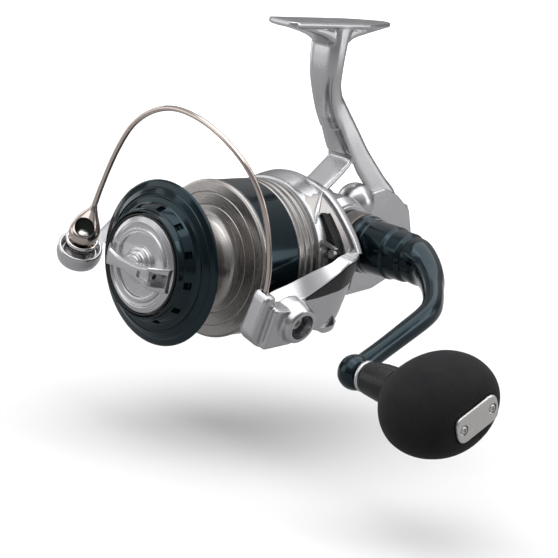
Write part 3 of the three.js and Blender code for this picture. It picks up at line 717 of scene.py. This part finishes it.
def make_body():
    stem = cast([trunk(), front_leg(), rear_leg(), foot_plate(), foot_keel()], 0.42, 3)
    casting = cut(united(gearbox(), stem), *body_room())
    place("reel_body_casting", casting, "silver_paint", "body", "frame", sharp=30)

    plate = slab(BODY_OUTLINE, -15.7, -12.6, bevel=1.0, corner=3)
    disc = on_handle(turned([(0, -16.4), (15.8, -16.4), (18.4, -14.4), (18.6, -12.6), (0, -12.6)], 0.8))
    cover = united(plate, disc)
    room = turned([(0, 60), (27.4, 60), (27.4, 77.3), (19.4, 80.4), (0, 80.4)], 0)
    pocket = on_handle(rod(9.1, -14.2, -12))
    place("side_cover_plate", cut(cover, room, pocket), "silver_paint", "body", "side_cover")

    rear = [(131.6, -13.6), (137.8, -5.6), (140.7, 6.7), (136, 19), (138.4, 19), (142.9, 6.7),
            (139.6, -7.4), (133.2, -15.2)]
    place("rear_trim", slab(rear, -9, 8, bevel=0.5, corner=0.8), "silver_paint", "body", "rear_cap")
    for i, (y, z) in enumerate([(83.5, -12.5), (126, -12.5), (129.5, 15)], 1):
        screw("cover_screw", -17.7, -16, 2.2, y, z, "body", f"cover_screw_{i}", i)
    cap = on_handle(turned([
        (0, -20.2), (4.6, -20.2), (5.2, -21), (6.4, -21), (8, -19.6), (8, -16.6), (0, -16.6)], 0.3))
    place("left_bore_plug", cap, "blue_anodised", "body", "left_bore_cap")
    collar = on_handle(turned([
        (5, 19.6), (12.2, 19.6), (12.6, 20.4), (12.6, 26.8), (12.2, 27.4), (5, 27.4)], 0.3))
    place("bearing_collar", collar, "grey_collar", "body", "handle_collar")


def screw(name, outer, inner, radius, y, z, body, node, number, depth=0.9):
    """A pan-head screw along X with a hexagon socket. outer is the x of its face."""
    way = 1 if outer > inner else -1
    head = [(0, inner), (radius, inner), (radius, outer - way * 0.5), (radius * 0.8, outer), (0, outer)]
    if way < 0:
        head = head[::-1]
    shape = along_x(turned(head, 0.2, 48), y, z)
    socket = along_x(rod(radius * 0.5, outer - way * depth, outer + way, 6), y, z)
    place(f"{name}_{number}", cut(shape, socket), "steel", body, node)


# ---- spool -------------------------------------------------------------------------
LIP_POCKETS = 12
FIRST_POCKET = 8                       # degrees from the top


def make_spool():
    lip = turned([
        (20.7, -9.2), (21.1, -9.8), (21.9, -9.7), (22.2, -7.6), (22.4, -7.1), (22.9, -6.9), (24.4, -3.7),
        (24.7, -3.2), (26.8, -2.7), (27.0, -2.1), (27.6, -2.0), (27.9, -2.5), (30.2, -1.3), (30.35, -1.0),
        (30.7, -1.15), (32.9, -0.4, 0.4), (LIP_RADIUS, 0.1, 0.4), (LIP_RADIUS, 0.7, 0.4), (32.8, 1.3),
        (30.6, 2.9), (20.7, 2.9),
    ], 0.16, FINE)
    slots = []
    for i in range(LIP_POCKETS):
        pocket = block((-1.5, -8, 22.6), (1.5, -4.1, 25.6), 0.2)
        angle = 360 / LIP_POCKETS * i + FIRST_POCKET
        pocket.data.transform(Matrix.Rotation(math.radians(angle), 4, "Y"))
        slots.append(pocket)
    place("lip_ring", cut(lip, *slots), "blue_anodised", "spool", "spool_lip_ring")
    wall = REAR_WALL_Y
    drum = turned([
        (6.9, 4), (19, 4), (19, -8.5), (20.4, -8.5), (20.4, 3.2), (27.5, 3.2), (27.3, 4.2), (18.9, 5.4, 2),
        (16.4, 6.7, 2), (ARBOR_RADIUS, 9.4, 3), (ARBOR_RADIUS, 20.4, 3), (16.4, wall - 2.6, 2),
        (18.6, wall - 0.9, 2), (22.0, wall - 0.35), (22.15, wall - 0.1), (22.4, wall - 0.1),
        (22.5, wall - 0.3), (27.2, wall), (27.35, wall + 0.25), (27.6, wall + 0.25), (27.7, wall + 0.05),
        (31.6, wall + 0.35, 0.3), (32.6, wall + 1.2, 0.4), (32.6, wall + 2.7), (12.8, wall + 2.7),
        (12.8, 9.5), (9.5, 9.5), (9.5, 26), (6.9, 26),
    ], 0.2, FINE)
    place("drum", drum, "brushed_aluminium", "spool", "spool_drum")
    skirt = turned([(30.7, 29.5), (31.9, 29.5), (SKIRT_RADIUS, 29.9), (SKIRT_RADIUS, 46.8), (31.9, 47.2),
                    (30.7, 47.2)], 0.2, FINE)
    place("blue_skirt", skirt, "blue_anodised", "spool", "spool_skirt")
    ring = turned([
        (30.7, 47.5), (31.7, 47.5), (32.1, 47.9), (32.1, 50.1), (31.4, 50.5), (31.4, 51.1), (32.1, 51.5),
        (32.1, 53.7), (31.4, 54.1), (31.4, 54.7), (32.1, 55.1), (32.1, 57.1), (31.8, SKIRT_END_Y),
        (30.7, SKIRT_END_Y),
    ], 0.2, FINE)
    place("skirt_end_ring", ring, "brushed_aluminium", "spool", "spool_skirt_ring")


# ---- drag knob ---------------------------------------------------------------------
GRIP_TILT = math.radians(7.5)             # the grip stands this far off level, crank side down


def knob_wing():
    """The grip across the knob: chamfered ends, a forked right end and a notched left one."""
    rows = [(-18.2, -11.8, 2.8), (-14.8, -15.2, 3.6), (-11.2, -18.2, 3.5), (-7, -18.3, 2.5), (-3, -18.4, 2.3),
            (4, -18.5, 2.6), (8, -18.5, 3.1), (12.6, -18.4, 4.4), (15.8, -16.2, 4.9), (18.4, -12.2, 5.1)]
    wing = faceted([(x, chamfered_box(front, -9.4, -tall, tall, 0.7)) for x, front, tall in rows])
    fork = slab([(-20, -3.1), (-20, 3.1), (-12, 2.7), (-12, -2.7)], 13.4, 21, 0, 0.4)
    pin_hole = along_x(rod(1.1, 9, 15, 24), -14.6, 0.4)
    front_slot = slab([(-20, -1.3), (-20, 1.3), (-17.6, 1.3), (-17.6, -1.3)], 7.4, 14, 0, 0.2)
    notch = slab([(-20, -0.7), (-20, 0.7), (-13, 0.6), (-13, -0.6)], -20, -14.4, 0, 0.2)
    return cut(bevelled(wing, 0.3, 2), fork, pin_hole, front_slot, notch)


def make_drag_knob():
    disc = turned([
        (0, -15.4), (3.9, -15.4), (4.5, -15), (4.6, -13.7), (5.7, -13.4), (6.0, -13), (6.1, -12),
        (7.1, -11.8), (7.5, -11.4), (7.6, -10.2), (12.7, -10.2), (13.0, -10.9), (13.5, -11.2), (14.5, -11.2),
        (14.9, -10.9), (15.2, -10.2), (16.4, -10.3), (16.9, -10.9), (17.2, -11), (19.3, -9.9), (19.3, -8.9),
        (8, -8.9), (8, -6.2), (3.4, -6.2), (3.4, -10), (0, -10)], 0.18, 160)
    wing = knob_wing()
    wing.data.transform(Matrix.Rotation(GRIP_TILT, 4, "Y"))
    place("drag_knob_body", united(disc, wing), "silver_paint", "drag_knob", "drag_knob", sharp=25)
    seal = turned([(19.65, -10.1), (20.3, -10.1), (20.3, -8.9), (19.65, -8.9)], 0.15, 144)
    place("knob_seal", seal, "black_rubber", "drag_knob", "drag_knob_seal")


# ---- rotor -------------------------------------------------------------------------
ARM_ROWS = {                            # x, y, half thickness, low edge, inner and outer top edges
    1: [(33.2, 71.2, 2.0, -11.6, 20.4, 20.4), (37.4, 68.6, 2.4, -12.6, 20.8, 20.8),
        (40.1, 64.6, 2.9, -13.6, 20.6, 20.8), (41.2, 59.5, 3.1, -13.6, 19.6, 19.8),
        (41.5, 55.5, 3.0, -12.0, 17.4, 16.2), (41.5, 51, 3.0, -10.8, 15.8, 12.8),
        (41.5, 46, 3.0, -9.8, 14.1, 9.6), (41.5, 40, 3.0, -9.0, 11.8, 6.2), (41.5, 33, 3.0, -8.2, 9.0, 5.0),
        (41.5, 26, 3.0, -7.8, 6.8, 4.4), (41.5, 22.5, 2.7, -6, 4.8, 3.0)],
    -1: [(33.2, 71.2, 2.0, -17, 12, 12), (37.4, 68.6, 2.4, -16.6, 12, 12),
         (40.1, 64.6, 2.9, -15.4, 11.7, 11.7), (41.2, 59.5, 3.1, -13.4, 10.8, 10.8),
         (41.5, 52, 3.0, -11.0, 9.6, 9.6), (41.5, 42, 3.0, -9.2, 8.8, 8.8), (41.5, 32, 3.0, -8.2, 8.2, 8.2),
         (41.5, 26, 3.0, -7.8, 7.8, 7.8), (41.5, 22.5, 2.7, -6, 5.6, 5.6)],
}
INLAY_ROWS = {                          # x, y, half thickness, and the low and high edges
    1: [(38.9, 66.9, 2.6, 12.6, 18.6), (40.1, 64.6, 2.9, 9.4, 19.6), (41.2, 59.5, 3.1, 7.4, 18.9),
        (41.5, 55.5, 3.0, 6.5, 15.4), (41.5, 51, 3.0, 5.5, 12.0), (41.5, 46, 3.0, 4.7, 8.8),
        (41.5, 40.6, 3.0, 4.2, 5.6)],
    -1: [(40.1, 64.6, 2.9, -5, 5), (41.2, 59.5, 3.1, -6.5, 6.5), (41.5, 51, 3.0, -4.5, 4.5),
         (41.5, 40.6, 3.0, -2.6, 2.6)],
}


def bent(rows, section):
    """Skins sections along a path in x and y. section gives (share of thickness, z) corners."""
    rows = smooth_rows(rows, 6)
    along = np.gradient(rows[:, :2], axis=0)
    along /= np.linalg.norm(along, axis=1)[:, None]
    rings = []
    for row, (run_x, run_y) in zip(rows, along):
        out_x, out_y = -run_y * row[2], run_x * row[2]
        rings.append([(row[0] + out_x * share, row[1] + out_y * share, z) for share, z in section(row)])
    return skinned(rings)


def mirrored(shape, side):
    shape.data.transform(Matrix.Diagonal((side, 1, 1, 1)))
    return tidy(shape)


def rotor_arm(side):
    """A flat arm with crisp edges, bent inwards at its root to meet the rim."""
    def section(row):
        low, inner, outer = row[3:]
        return [(1, low + 0.7), (1, outer - 0.5), (0.82, outer), (-0.82, inner), (-1, inner - 0.5),
                (-1, low + 0.7), (-0.75, low), (0.75, low)]
    return mirrored(bent(ARM_ROWS[side], section), side)


def arm_inlay(side):
    """The glossy strip let into the arm's outer face."""
    def section(row):
        low, high = row[3:]
        return [(0.8, low), (1.06, low), (1.12, low + 0.4), (1.12, high - 0.4), (1.06, high), (0.8, high)]
    return mirrored(bent(INLAY_ROWS[side], section), side)


def rotor_shell():
    return turned([
        (5.3, 36), (26.3, 36), (26.3, 31.5), (29, 31.5), (29, 56.5), (31.6, 58.3), (32.9, 58.5),
        (DRUM_RADIUS, 60.2), (34.6, 66.5), (35.1, 69.6), (34.9, 71.2), (34.4, 72), (32.8, 72), (32.6, 69.5),
        (32.2, 66), (31, 62.5), (28.5, 59.5), (26.5, 58.5), (26.5, 39), (12, 39), (12, 54.3), (5.3, 54.3),
    ], 0.3, FINE)


RIM_BAND = 1.3                          # half the band's thickness
RIM_EDGE = [                            # degrees above the arm, and the widened rim's radius
    (104, 34.9), (97, 34.95), (90, 35.1), (80, 36.3), (69, 37.6), (58, 38.8), (50, 39.8), (40, 41.8),
    (33, 43.4), (27.6, 44.6),
]


def rim_band():
    """The rounded band along the widened rim, from the top of the drum to the near arm's corner."""
    rows = []
    for degrees, radius in RIM_EDGE:
        out = np.array((math.cos(math.radians(degrees)), 0, math.sin(math.radians(degrees))))
        deep = 1.2 if degrees > 95 else 1.9
        middle = out * (radius - RIM_BAND) + (0, 70.3, 0)
        rows.append(station(middle, out * RIM_BAND, (0, deep, 0), 3.4))
    return loft(rows, sides=32, steps=5)


def flare_ring(y, reach):
    """The cone's outline at one y, from the drum's radius to just inside the rim's edge."""
    edge = []
    for degrees, radius in RIM_EDGE:
        size = DRUM_RADIUS + (radius - 1.6 - DRUM_RADIUS) * reach
        angle = math.radians(degrees)
        edge.append((size * math.cos(angle), y, size * math.sin(angle)))
    return [*edge, (26 + 8 * reach, y, 9), (-6, y, 24)]


def rim_cone():
    """The brushed cone between the drum and the rim's band, open to the recess by the arm."""
    cone = skinned([flare_ring(59.8, 0), flare_ring(63.5, 0.36), flare_ring(67, 0.72), flare_ring(70.5, 1)])
    hollow = [(18.6, 27.8), (22.6, 31.6), (33.0, 24.0), (36.6, 20.4), (38, 6), (24, 6)]
    inner = turned([(0, 59), (31.6, 59), (32.8, 69), (32.8, 74), (0, 74)], 0)
    return cut(cone, inner, prism(hollow, 55, 66.6))


def prism(outline, from_y, to_y):
    """An [x, z] outline drawn out along y."""
    shape = slab(outline, from_y, to_y, 0, 0.5)
    shape.data.transform(Matrix(((0, 1, 0, 0), (1, 0, 0, 0), (0, 0, 1, 0), (0, 0, 0, 1))))
    return tidy(shape)


def make_recess():
    """The dark pocket by the near arm, with its bracket, its screw and the fold beside it."""
    floor = prism([(15, 25), (19.5, 29.5), (30.2, 22.4), (34.5, 18), (36, 7), (24, 7)], 62.6, 66.6)
    place("recess_floor", floor, "black_plastic", "rotor")
    bracket = united(prism([(26.2, 19.5), (34.6, 19.9), (34.6, 21.0), (26.2, 20.7)], 59.8, 61.6),
                     prism([(26.2, 17.4), (27.2, 17.4), (27.2, 20.7), (26.2, 20.7)], 59.8, 61.6))
    fold = loft([
        station((20.4, 59.4, 25.2), (0.9, 0, 0.6), (0, 0.9, 0)),
        station((17.6, 61.6, 29.4), (1.0, 0, 0.7), (0, 1.2, 0)),
        station((14.0, 65.2, 32.6), (0.6, 0, 0.5), (0, 0.9, 0)),
        station((11.4, 68.2, 34.8), (0.15, 0, 0.1), (0, 0.2, 0)),
    ], sides=12, steps=4)
    place("recess_bracket", united(bracket, fold), "silver_paint", "rotor")
    screw_head = turned([
        (0, 62), (0.8, 62), (0.8, 60.8), (1.7, 60.8), (1.9, 61.2), (1.9, 63.5), (0, 63.5)], 0.1, 32)
    screw_head.data.transform(Matrix.Translation((32.6, 0, 17.2)))
    place("recess_screw", screw_head, "steel", "rotor")


def make_rotor():
    inside = turned([(0, 59.6), (31, 59.6), (31, 62.5), (32.2, 66), (32.6, 69.5), (32.6, 80), (0, 80)], 0)
    skirt_room = turned([(29.5, 20), (33.2, 20), (33.2, 58.2), (32, 58.2), (29.5, 56.8)], 0)
    holes = [on_pivot(rod(PIVOT_HOLE, low, low + 30, 32)) for low in (30, -60)]
    notch = slab([(76, 4), (68.5, 1.7), (66.4, -0.2), (65.7, -4.2), (64.2, -7.4), (69.6, -11.2), (76, -12)],
                 36, 50, 0, 0.2)
    pocket = slab([(55.2, -10.4), (60.6, -4.6), (62.6, -6.4), (65.2, -10.4)], 41.6, 50, 0, 0.3)
    arm = cut(rotor_arm(1), notch, pocket)
    additions = cut(united(arm, rotor_arm(-1), rim_band()), inside)
    casting = cut(united(rotor_shell(), additions), skirt_room, *holes)
    casting = bevelled(casting, 0.25, 2, 45)
    place("rotor_casting", casting, "silver_paint", "rotor", "rotor", sharp=25)
    place("rim_cone", rim_cone(), "brushed_aluminium", "rotor")
    make_recess()
    place("near_arm_inlay", arm_inlay(1), "black_plastic", "rotor", "near_arm_cover")
    place("far_arm_inlay", arm_inlay(-1), "black_plastic", "rotor", "far_arm_cover")


# ---- bail --------------------------------------------------------------------------
def bail_lever():
    nose = slab([(9.2, -6.5), (10.3, 9.6), (11.6, 11.4), (15.2, 11.4), (17.6, 7.4), (21, 5), (21, -11),
                 (15.5, -11.8), (11.6, -9.6)], 42.4, 50.4, bevel=1.7, corner=1.2)
    shank = slab([(15, 6.8), (24, 6.4), (31, 8), (36.5, 5), (38.4, 0), (36, -5.5), (30.5, -10.2),
                  (15, -11.4)], 45.3, 53.2, bevel=1.9, corner=1.5)
    boss = on_pivot(turned([(0, 46), (8.8, 46), (8.6, 51), (7.6, 56.2), (6.6, 56.8), (0, 56.8)], 0.5))
    lever = cast([nose, shank, boss], 0.4, 2)
    recess = on_pivot(turned([(0, 50.4), (5.2, 50.4), (5.5, 58), (0, 58)], 0, 64))
    hole = on_pivot(rod(PIVOT_HOLE, 40, 58, 32))
    wire_hole = [(45.8, 13.4, 9), (45.6, 13.3, 11), (45.4, 13.1, 14)]
    socket = loft([station(p, (1.45, 0, 0), (0, 1.45, 0)) for p in wire_hole], sides=32, steps=2)
    arm_side = block((38, 17, -20), (45.2, 42, 20))
    arm_below = block((38, 13.2, -20), (45.2, 20, -8))
    return cut(lever, recess, hole, socket, arm_side, arm_below)


WIRE_PATH = [
    (45.8, 13.4, 9.6), (45.8, 13.4, 12.2), (44.6, 12, 22), (41.4, 8.8, 35.2), (36.4, 4.4, 47.6),
    (27.8, 0.6, 57), (14, -0.8, 61.8), (-1, -0.8, 62.9), (-16, -0.6, 60.4), (-27.6, -0.6, 54),
    (-36.4, -0.6, 43.6), (-41, -0.6, 30), (-43.4, -0.6, 14), (-44.4, -0.4, 3.4), (-44.6, -0.3, 1.4),
]


def wire_end():
    """The wire's flared end: a teardrop that runs into a ring round the roller screw."""
    drop = loft([
        station((-44.5, -0.3, 3.0), (1.2, 0, 0), (0, 1.2, 0)),
        station((-44.4, -0.6, 0.9), (1.9, 0, -0.2), (0, 1.9, 0.3)),
        station((-44.1, -1.4, -1.6), (3.4, 0, -0.6), (0.1, 3.2, 0.7)),
        station((-43.4, -2.5, -4.4), (5.2, 0, -1.1), (0.2, 4.9, 1.2)),
        station((-42.6, -3.4, -7.0), (6.2, 0, -1.4), (0.3, 6.1, 1.5)),
        station((-42.9, -3.1, -9.2), (6.3, 0, -1.4), (0.3, 6.2, 1.6)),
        station((-43.2, -2.8, -10.4), (6.1, 0, -1.35), (0.3, 6.0, 1.5)),
    ], sides=64, steps=8)
    return cut(drop, eye_hole(3.9, -1.0, 20))


def eye_hole(radius, from_depth, to_depth):
    """A round pocket from the front into the wire's end, a little drawn out towards the wire."""
    pocket = rod(radius, from_depth, to_depth, 64)
    pocket.data.transform(Matrix.Diagonal((1, 1, 1.08, 1)))
    turn = Vector((0, 1, 0)).rotation_difference(Vector((0.586, -0.71, 0.39))).to_matrix().to_4x4()
    pocket.data.transform(Matrix.Translation((-42.5, -3.9, -6.5)) @ turn)
    return tidy(pocket)


def make_bail():
    place("bail_lever_body", bail_lever(), "silver_paint", "bail", "bail_lever", sharp=30)
    screw("lever_pivot_screw", 53.2, 50.6, 3.4, PIVOT_Y, 0, "bail", "bail_lever_screw", 1)
    radii = [1.15] * (len(WIRE_PATH) - 2) + [1.2, 1.2]
    place("bail_bow", tube(WIRE_PATH, radii), "bail_steel", "bail", "bail_wire")
    place("wire_end_ring", wire_end(), "bail_steel", "bail", "bail_wire_cap")
    liner = cut(eye_hole(4.0, -1.2, 1.2), eye_hole(3.6, -0.6, 3))
    place("wire_end_liner", liner, "black_plastic", "bail")
    place("roller_bracket", roller_bracket(), "silver_paint", "bail", "roller_arm")
    screw("bracket_pivot_screw", -51.6, -49.8, 3.9, PIVOT_Y, 0, "bail", "roller_arm_screw", 1)
    head = on_roller(turned([
        (0, -8.6), (1.6, -8.4), (2.8, -7.8), (3.5, -6.9), (3.5, -6.4), (2.2, -6.2), (2.2, 4.4), (0, 4.4)],
        0.3, 64))
    place("roller_screw", head, "steel", "bail", "roller_pin")
    roller = on_roller(turned([
        (2.6, -3.8), (6.4, -3.8), (6.9, -3.4), (6.8, -2.4), (5.7, -0.8, 1), (5.5, 0.4, 1), (5.9, 1.8, 1),
        (6.6, 3), (6.6, 3.9), (2.6, 3.9)], 0.3))
    place("roller_sleeve", roller, "roller_chrome", "line_roller", "line_roller")


def roller_bracket():
    arm = loft([
        upright(-48.2, 38, 0, 3.2, 4.0, 3), upright(-48.6, 32, -1, 3.6, 6.0, 3),
        upright(-48.6, 24, -6, 3.6, 5.6, 3), station((-48.4, 16, -12), (3.3, 0, 0), (0, 2, 5), 3),
        station((-47.8, 10.8, -17), (3.6, 0, 0), (0, 3, 4.2), 3),
        station((-46.6, 6.4, -21), (4.6, 0, 0), (0, 3.4, 3.2), 3),
        station((-46, 2, -23.2), (4.6, 0, 0), (0, 3, 2.6), 3),
    ], sides=48, steps=8)
    cup = on_roller(turned([
        (0, 4.8), (7.8, 4.8), (7.8, 0.8), (8.3, 0.2), (9.0, 0.4), (9.4, 1.2), (9.4, 4.6), (8.6, 7.4),
        (6.4, 9.3), (0, 9.8)], 0.3))
    boss = on_pivot(turned([(0, -53), (6, -53), (8, -45.6), (0, -45.6)], 0.8))
    whole = cast([arm, cup, boss], 0.34, 2)
    recess = on_pivot(rod(4.7, -54, -49.4, 64))
    hole = on_pivot(rod(PIVOT_HOLE, -54, -40, 32))
    room = on_roller(rod(7.7, -6, 4.5))
    return cut(whole, recess, hole, room)


# ---- crank and knob ----------------------------------------------------------------
crank_reach = Vector((0, KNOB.y - HANDLE.y, KNOB.z - HANDLE.z))
ALONG = crank_reach.normalized()
ACROSS = Vector((0, -ALONG.z, ALONG.y))


def out_on_crank(x, out):
    return (x, HANDLE.y + ALONG.y * out, HANDLE.z + ALONG.z * out)


def crank_station(x, out, across, tilt_x, tilt_along, square):
    return station(out_on_crank(x, out), tuple(ACROSS * across),
                   (tilt_x, ALONG.y * tilt_along, ALONG.z * tilt_along), square)


def crank_arm():
    arm = loft([crank_station(*row) for row in (
        (54.0, 0, 9.2, 0, 9.2, 2), (56.5, 0.2, 9.3, 0, 9.0, 2.2), (60.5, 1.2, 9.0, -0.6, 8.3, 2.4),
        (66.5, 4, 7.6, -2.2, 6.0, 2.6), (72.5, 8.5, 6.2, -3.4, 4.2, 2.8), (78, 14, 5.2, -3.1, 3.2, 2.8),
        (83, 19.4, 4.7, -3.0, 2.8, 2.8), (87, 25, 4.4, -3.5, 1.6, 2.8), (89, 31.5, 4.2, -3.6, 0.4, 2.8),
        (89.6, 43, 4.0, -3.5, 0, 2.8), (90, 58, 3.9, -3.3, 0, 2.6), (90.2, 71, 4.2, -3.6, 0, 2.2),
    )], sides=64, steps=10)
    eye = on_knob(turned([
        (0, 85.2), (3.4, 85.6), (5.7, 87.2), (6.8, 89.6), (7, 91.4), (6.8, 93.2), (6.2, 94.8), (5, 95.6),
        (0, 95.6)], 0.9))
    return united(arm, eye)


def make_crank():
    cup = on_handle(turned([
        (0, 29.3), (5.2, 29.3), (5.2, 27.8), (11.9, 27.8), (12.4, 28.6), (12.4, 30.2), (11.9, 31.0),
        (11.7, 31.6), (11.7, 34.0), (11.4, 34.5), (11.2, 45.6), (10.8, 46.2), (10.4, 47), (10.3, 53.4),
        (9.4, 54.6), (9, 55.2), (0, 55.2)], 0.3))
    room = on_handle(rod(10.7, 46, 55.6, 96))
    place("handle_cup_body", cup, "blue_anodised", "crank", "handle_cup")
    place("crank_arm", cut(crank_arm(), room), "blue_anodised", "crank", "handle_arm")
    make_knob()


FOAM_LENGTH, FOAM_WIDTH = 47.6, 35.8


def grip_shape():
    profile = [(112.6, 0.36), (114.2, 0.50), (117.2, 0.66), (121.5, 0.83), (126.5, 0.95), (132, 1),
               (137.5, 0.985), (143, 0.90), (147.2, 0.77), (149.8, 0.62), (151.1, 0.48)]
    rows = [station((x, KNOB.y, KNOB.z), tuple(ALONG * FOAM_LENGTH / 2 * share),
                    tuple(ACROSS * FOAM_WIDTH / 2 * share), 2.05) for x, share in profile]
    return loft(rows, sides=96, steps=7, end=0.35)


def plate_outline(length, height, from_x, to_x, bevel):
    """A flat-sided badge plate with rounded ends, lying across the end of the grip."""
    shape = slab([(-length, -height, height * 0.8), (length, -height, height * 0.8),
                  (length, height, height * 0.8), (-length, height, height * 0.8)], from_x, to_x, bevel, 1)
    turn = Matrix.Rotation(math.atan2(ALONG.z, ALONG.y), 4, "X")
    shape.data.transform(Matrix.Translation((0, KNOB.y, KNOB.z)) @ turn)
    return shape


def make_knob():
    washer = on_knob(turned([
        (2.8, 96.2), (6.0, 96.2), (6.3, 96.6), (6.3, 97.6), (6.0, 98), (2.8, 98)], 0.2, 96))
    place("grip_washer", washer, "silver_paint", "knob", "knob_washer")
    sleeve = on_knob(turned([
        (2.8, 98.3), (6.1, 98.3), (6.5, 98.9), (7.4, 106), (7.6, 112.3), (2.8, 112.3)], 0.3, 96))
    place("grip_sleeve", sleeve, "black_plastic", "knob", "knob_sleeve")
    bore = on_knob(rod(2.8, 110, 138.4, 48))
    pocket = plate_outline(11.7, 5.9, 150.2, 156, 0)
    place("foam_grip", cut(grip_shape(), bore, pocket), "grip_foam", "knob", "knob_grip")
    plate = plate_outline(11.3, 5.5, 150.5, 152.3, 0.5)
    for i, side in enumerate((-1, 1), 1):
        spot = KNOB + ALONG * 8 * side
        well = along_x(turned([(0, 151.6), (2.0, 151.6), (2.2, 153), (0, 153)], 0, 48), spot.y, spot.z)
        plate = cut(plate, well)
        screw("badge_screw", 152.5, 151.7, 1.55, spot.y, spot.z, "knob", f"knob_plate_screw_{i}", i,
              depth=0.5)
    place("badge_plate", plate, "steel", "knob", "knob_plate")


def finish_inner_nodes():
    """The inner pieces keep their CAD shapes and get the finish of their slot."""
    slots = {row["node"]: row["material_slot"] for row in frame["record"]["subparts"]}
    for name, node in frame["nodes"].items():
        if node.hide_render:
            continue
        node.data.materials.clear()
        node.data.materials.append(MATERIALS[slots[name]])


make_body()
make_spool()
make_drag_knob()
make_rotor()
make_bail()
make_crank()
finish_inner_nodes()


# ---- floor, light and camera -------------------------------------------------------
FLOOR_DROP = 34                        # the reel hangs above the floor by this much
CAMERA_PLACE = (575.34, -542.25, 182.12)
CAMERA_AZIMUTH, CAMERA_ELEVATION, CAMERA_ROLL = map(math.radians, (43.2, 13.01, 7.41))
LENS, SENSOR = 130.73, 36.0
NEAR_PAPER_PAINTED_SHADE = 0.8                      # the paper near the reel as the camera sees it, kept darker there as painted shade round the reel's shadow
FAR_PAPER_PAINTED_LIGHT = 2.2                  # and farther off, brightened past white as painted light where the lamps fall off
NEAR_FLOOR, FAR_FLOOR = 0.25, 1.4      # metres from the frame's origin where the painted change from shade to light starts and ends
FLOOR_REACH = 14                       # metres to each side
FLOOR_BOUNCE = 0.38                    # and how much of its light the reel gets back


def camera_only(tree, seen, unseen):
    """One colour as the camera sees it and another as light does."""
    path = add_node(tree, "ShaderNodeLightPath")
    return mixed(tree, path.outputs["Is Camera Ray"], unseen, seen)


def paper_with_painted_light(tree):
    """Paper painted darker near the reel and whiter away from it: painted shade under the reel and painted light
    farther off, so that it runs out into a white background.
    """
    where = add_node(tree, "ShaderNodeNewGeometry")
    distance = add_node(tree, "ShaderNodeVectorMath", {"operation": "LENGTH"})
    feed(distance.inputs[0], where.outputs["Position"])
    white = add_node(tree, "ShaderNodeMapRange", Value=distance.outputs["Value"],
                     From_Min=NEAR_FLOOR, From_Max=FAR_FLOOR, To_Min=NEAR_PAPER_PAINTED_SHADE, To_Max=FAR_PAPER_PAINTED_LIGHT)
    return white.outputs["Result"]


def make_floor():
    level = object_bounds()[0].z - FLOOR_DROP * MM
    mesh = bpy.data.meshes.new("floor")
    r = FLOOR_REACH
    corners = [(-r, -r), (r, -r), (r, r), (-r, r)]
    mesh.from_pydata([(x, y, level) for x, y in corners], [], [(0, 1, 2, 3)])
    floor = added("floor", mesh)
    paper = bpy.data.materials.new("floor_paper_painted_light")
    paper.use_nodes = True
    tree = paper.node_tree
    tree.nodes.remove(tree.nodes["Principled BSDF"])
    # the camera sees the paper with its painted shade and painted light; the light bouncing back sees a plain grey
    shade = camera_only(tree, paper_with_painted_light(tree), grey(FLOOR_BOUNCE))
    diffuse = add_node(tree, "ShaderNodeBsdfDiffuse", Color=shade)
    feed(tree.nodes["Material Output"].inputs["Surface"], diffuse.outputs[0])
    mesh.materials.append(paper)


def softbox(name, place, aim, size, radiance):
    """A rectangular light of an even radiance, size in metres."""
    light = bpy.data.lights.new(name, "AREA")
    light.shape = "RECTANGLE"
    light.size, light.size_y = size
    light.energy = radiance * math.pi * size[0] * size[1]
    lamp = added(name, light)
    lamp.location = TO_ROW @ Vector(place)
    direction = TO_ROW @ Vector(aim) - lamp.location
    lamp.rotation_euler = direction.to_track_quat("-Z", "Y").to_euler()


def make_lights():
    middle = (20, 60, 0)
    softbox("key", (-60, -420, 760), middle, (0.9, 0.9), 1.35)
    softbox("top", (40, 160, 800), middle, (1.0, 1.0), 1.4)
    softbox("left_card", (-600, -600, 40), middle, (0.5, 0.8), 1.3)
    softbox("far_left_card", (-800, 0, 100), middle, (0.4, 0.7), 1.5)
    softbox("right_strip", (700, 560, 420), middle, (0.25, 0.8), 2.4)
    softbox("right_low_card", (720, 760, 0), middle, (0.5, 0.5), 1.2)


def make_world():
    """The light of a studio: bright above, dim at the sides and dark below."""
    world = bpy.data.worlds.new("studio")
    bpy.context.scene.world = world
    world.use_nodes = True
    tree = world.node_tree
    where = add_node(tree, "ShaderNodeTexCoord")
    parts = add_node(tree, "ShaderNodeSeparateXYZ", Vector=where.outputs["Generated"])
    height = add_node(tree, "ShaderNodeMapRange", Value=parts.outputs["Z"], From_Min=-1)
    ramp = add_node(tree, "ShaderNodeValToRGB")
    feed(ramp.inputs[0], height.outputs["Result"])
    stops = [(0.0, 0.04), (0.45, 0.09), (0.52, 0.18), (0.65, 0.3), (0.85, 0.7), (1.0, 0.95)]
    marks = ramp.color_ramp.elements
    while len(marks) < len(stops):
        marks.new(0.5)
    for mark, (position, level) in zip(marks, stops):
        mark.position = position
        mark.color = (level, level, level * 1.02, 1)
    feed(tree.nodes["Background"].inputs[0], camera_only(tree, grey(1), ramp.outputs[0]))


def make_camera():
    lens = bpy.data.cameras.new("camera")
    lens.lens = LENS
    lens.sensor_width = SENSOR
    lens.clip_end = 50
    camera = added("camera", lens)
    a, e, roll = CAMERA_AZIMUTH, CAMERA_ELEVATION, CAMERA_ROLL
    back = Vector((math.sin(a) * math.cos(e), -math.cos(a) * math.cos(e), math.sin(e)))
    right = Vector((math.cos(a), math.sin(a), 0))
    up = back.cross(right)
    turned_right = math.cos(roll) * right + math.sin(roll) * up
    turned_up = -math.sin(roll) * right + math.cos(roll) * up
    camera.matrix_world = Matrix.Translation(TO_ROW @ Vector(CAMERA_PLACE)) @ Matrix(
        (turned_right, turned_up, back)).transposed().to_4x4()
    bpy.context.scene.camera = camera


make_floor()
make_lights()
make_world()
make_camera()
bpy.context.scene.view_settings.view_transform = "Standard"
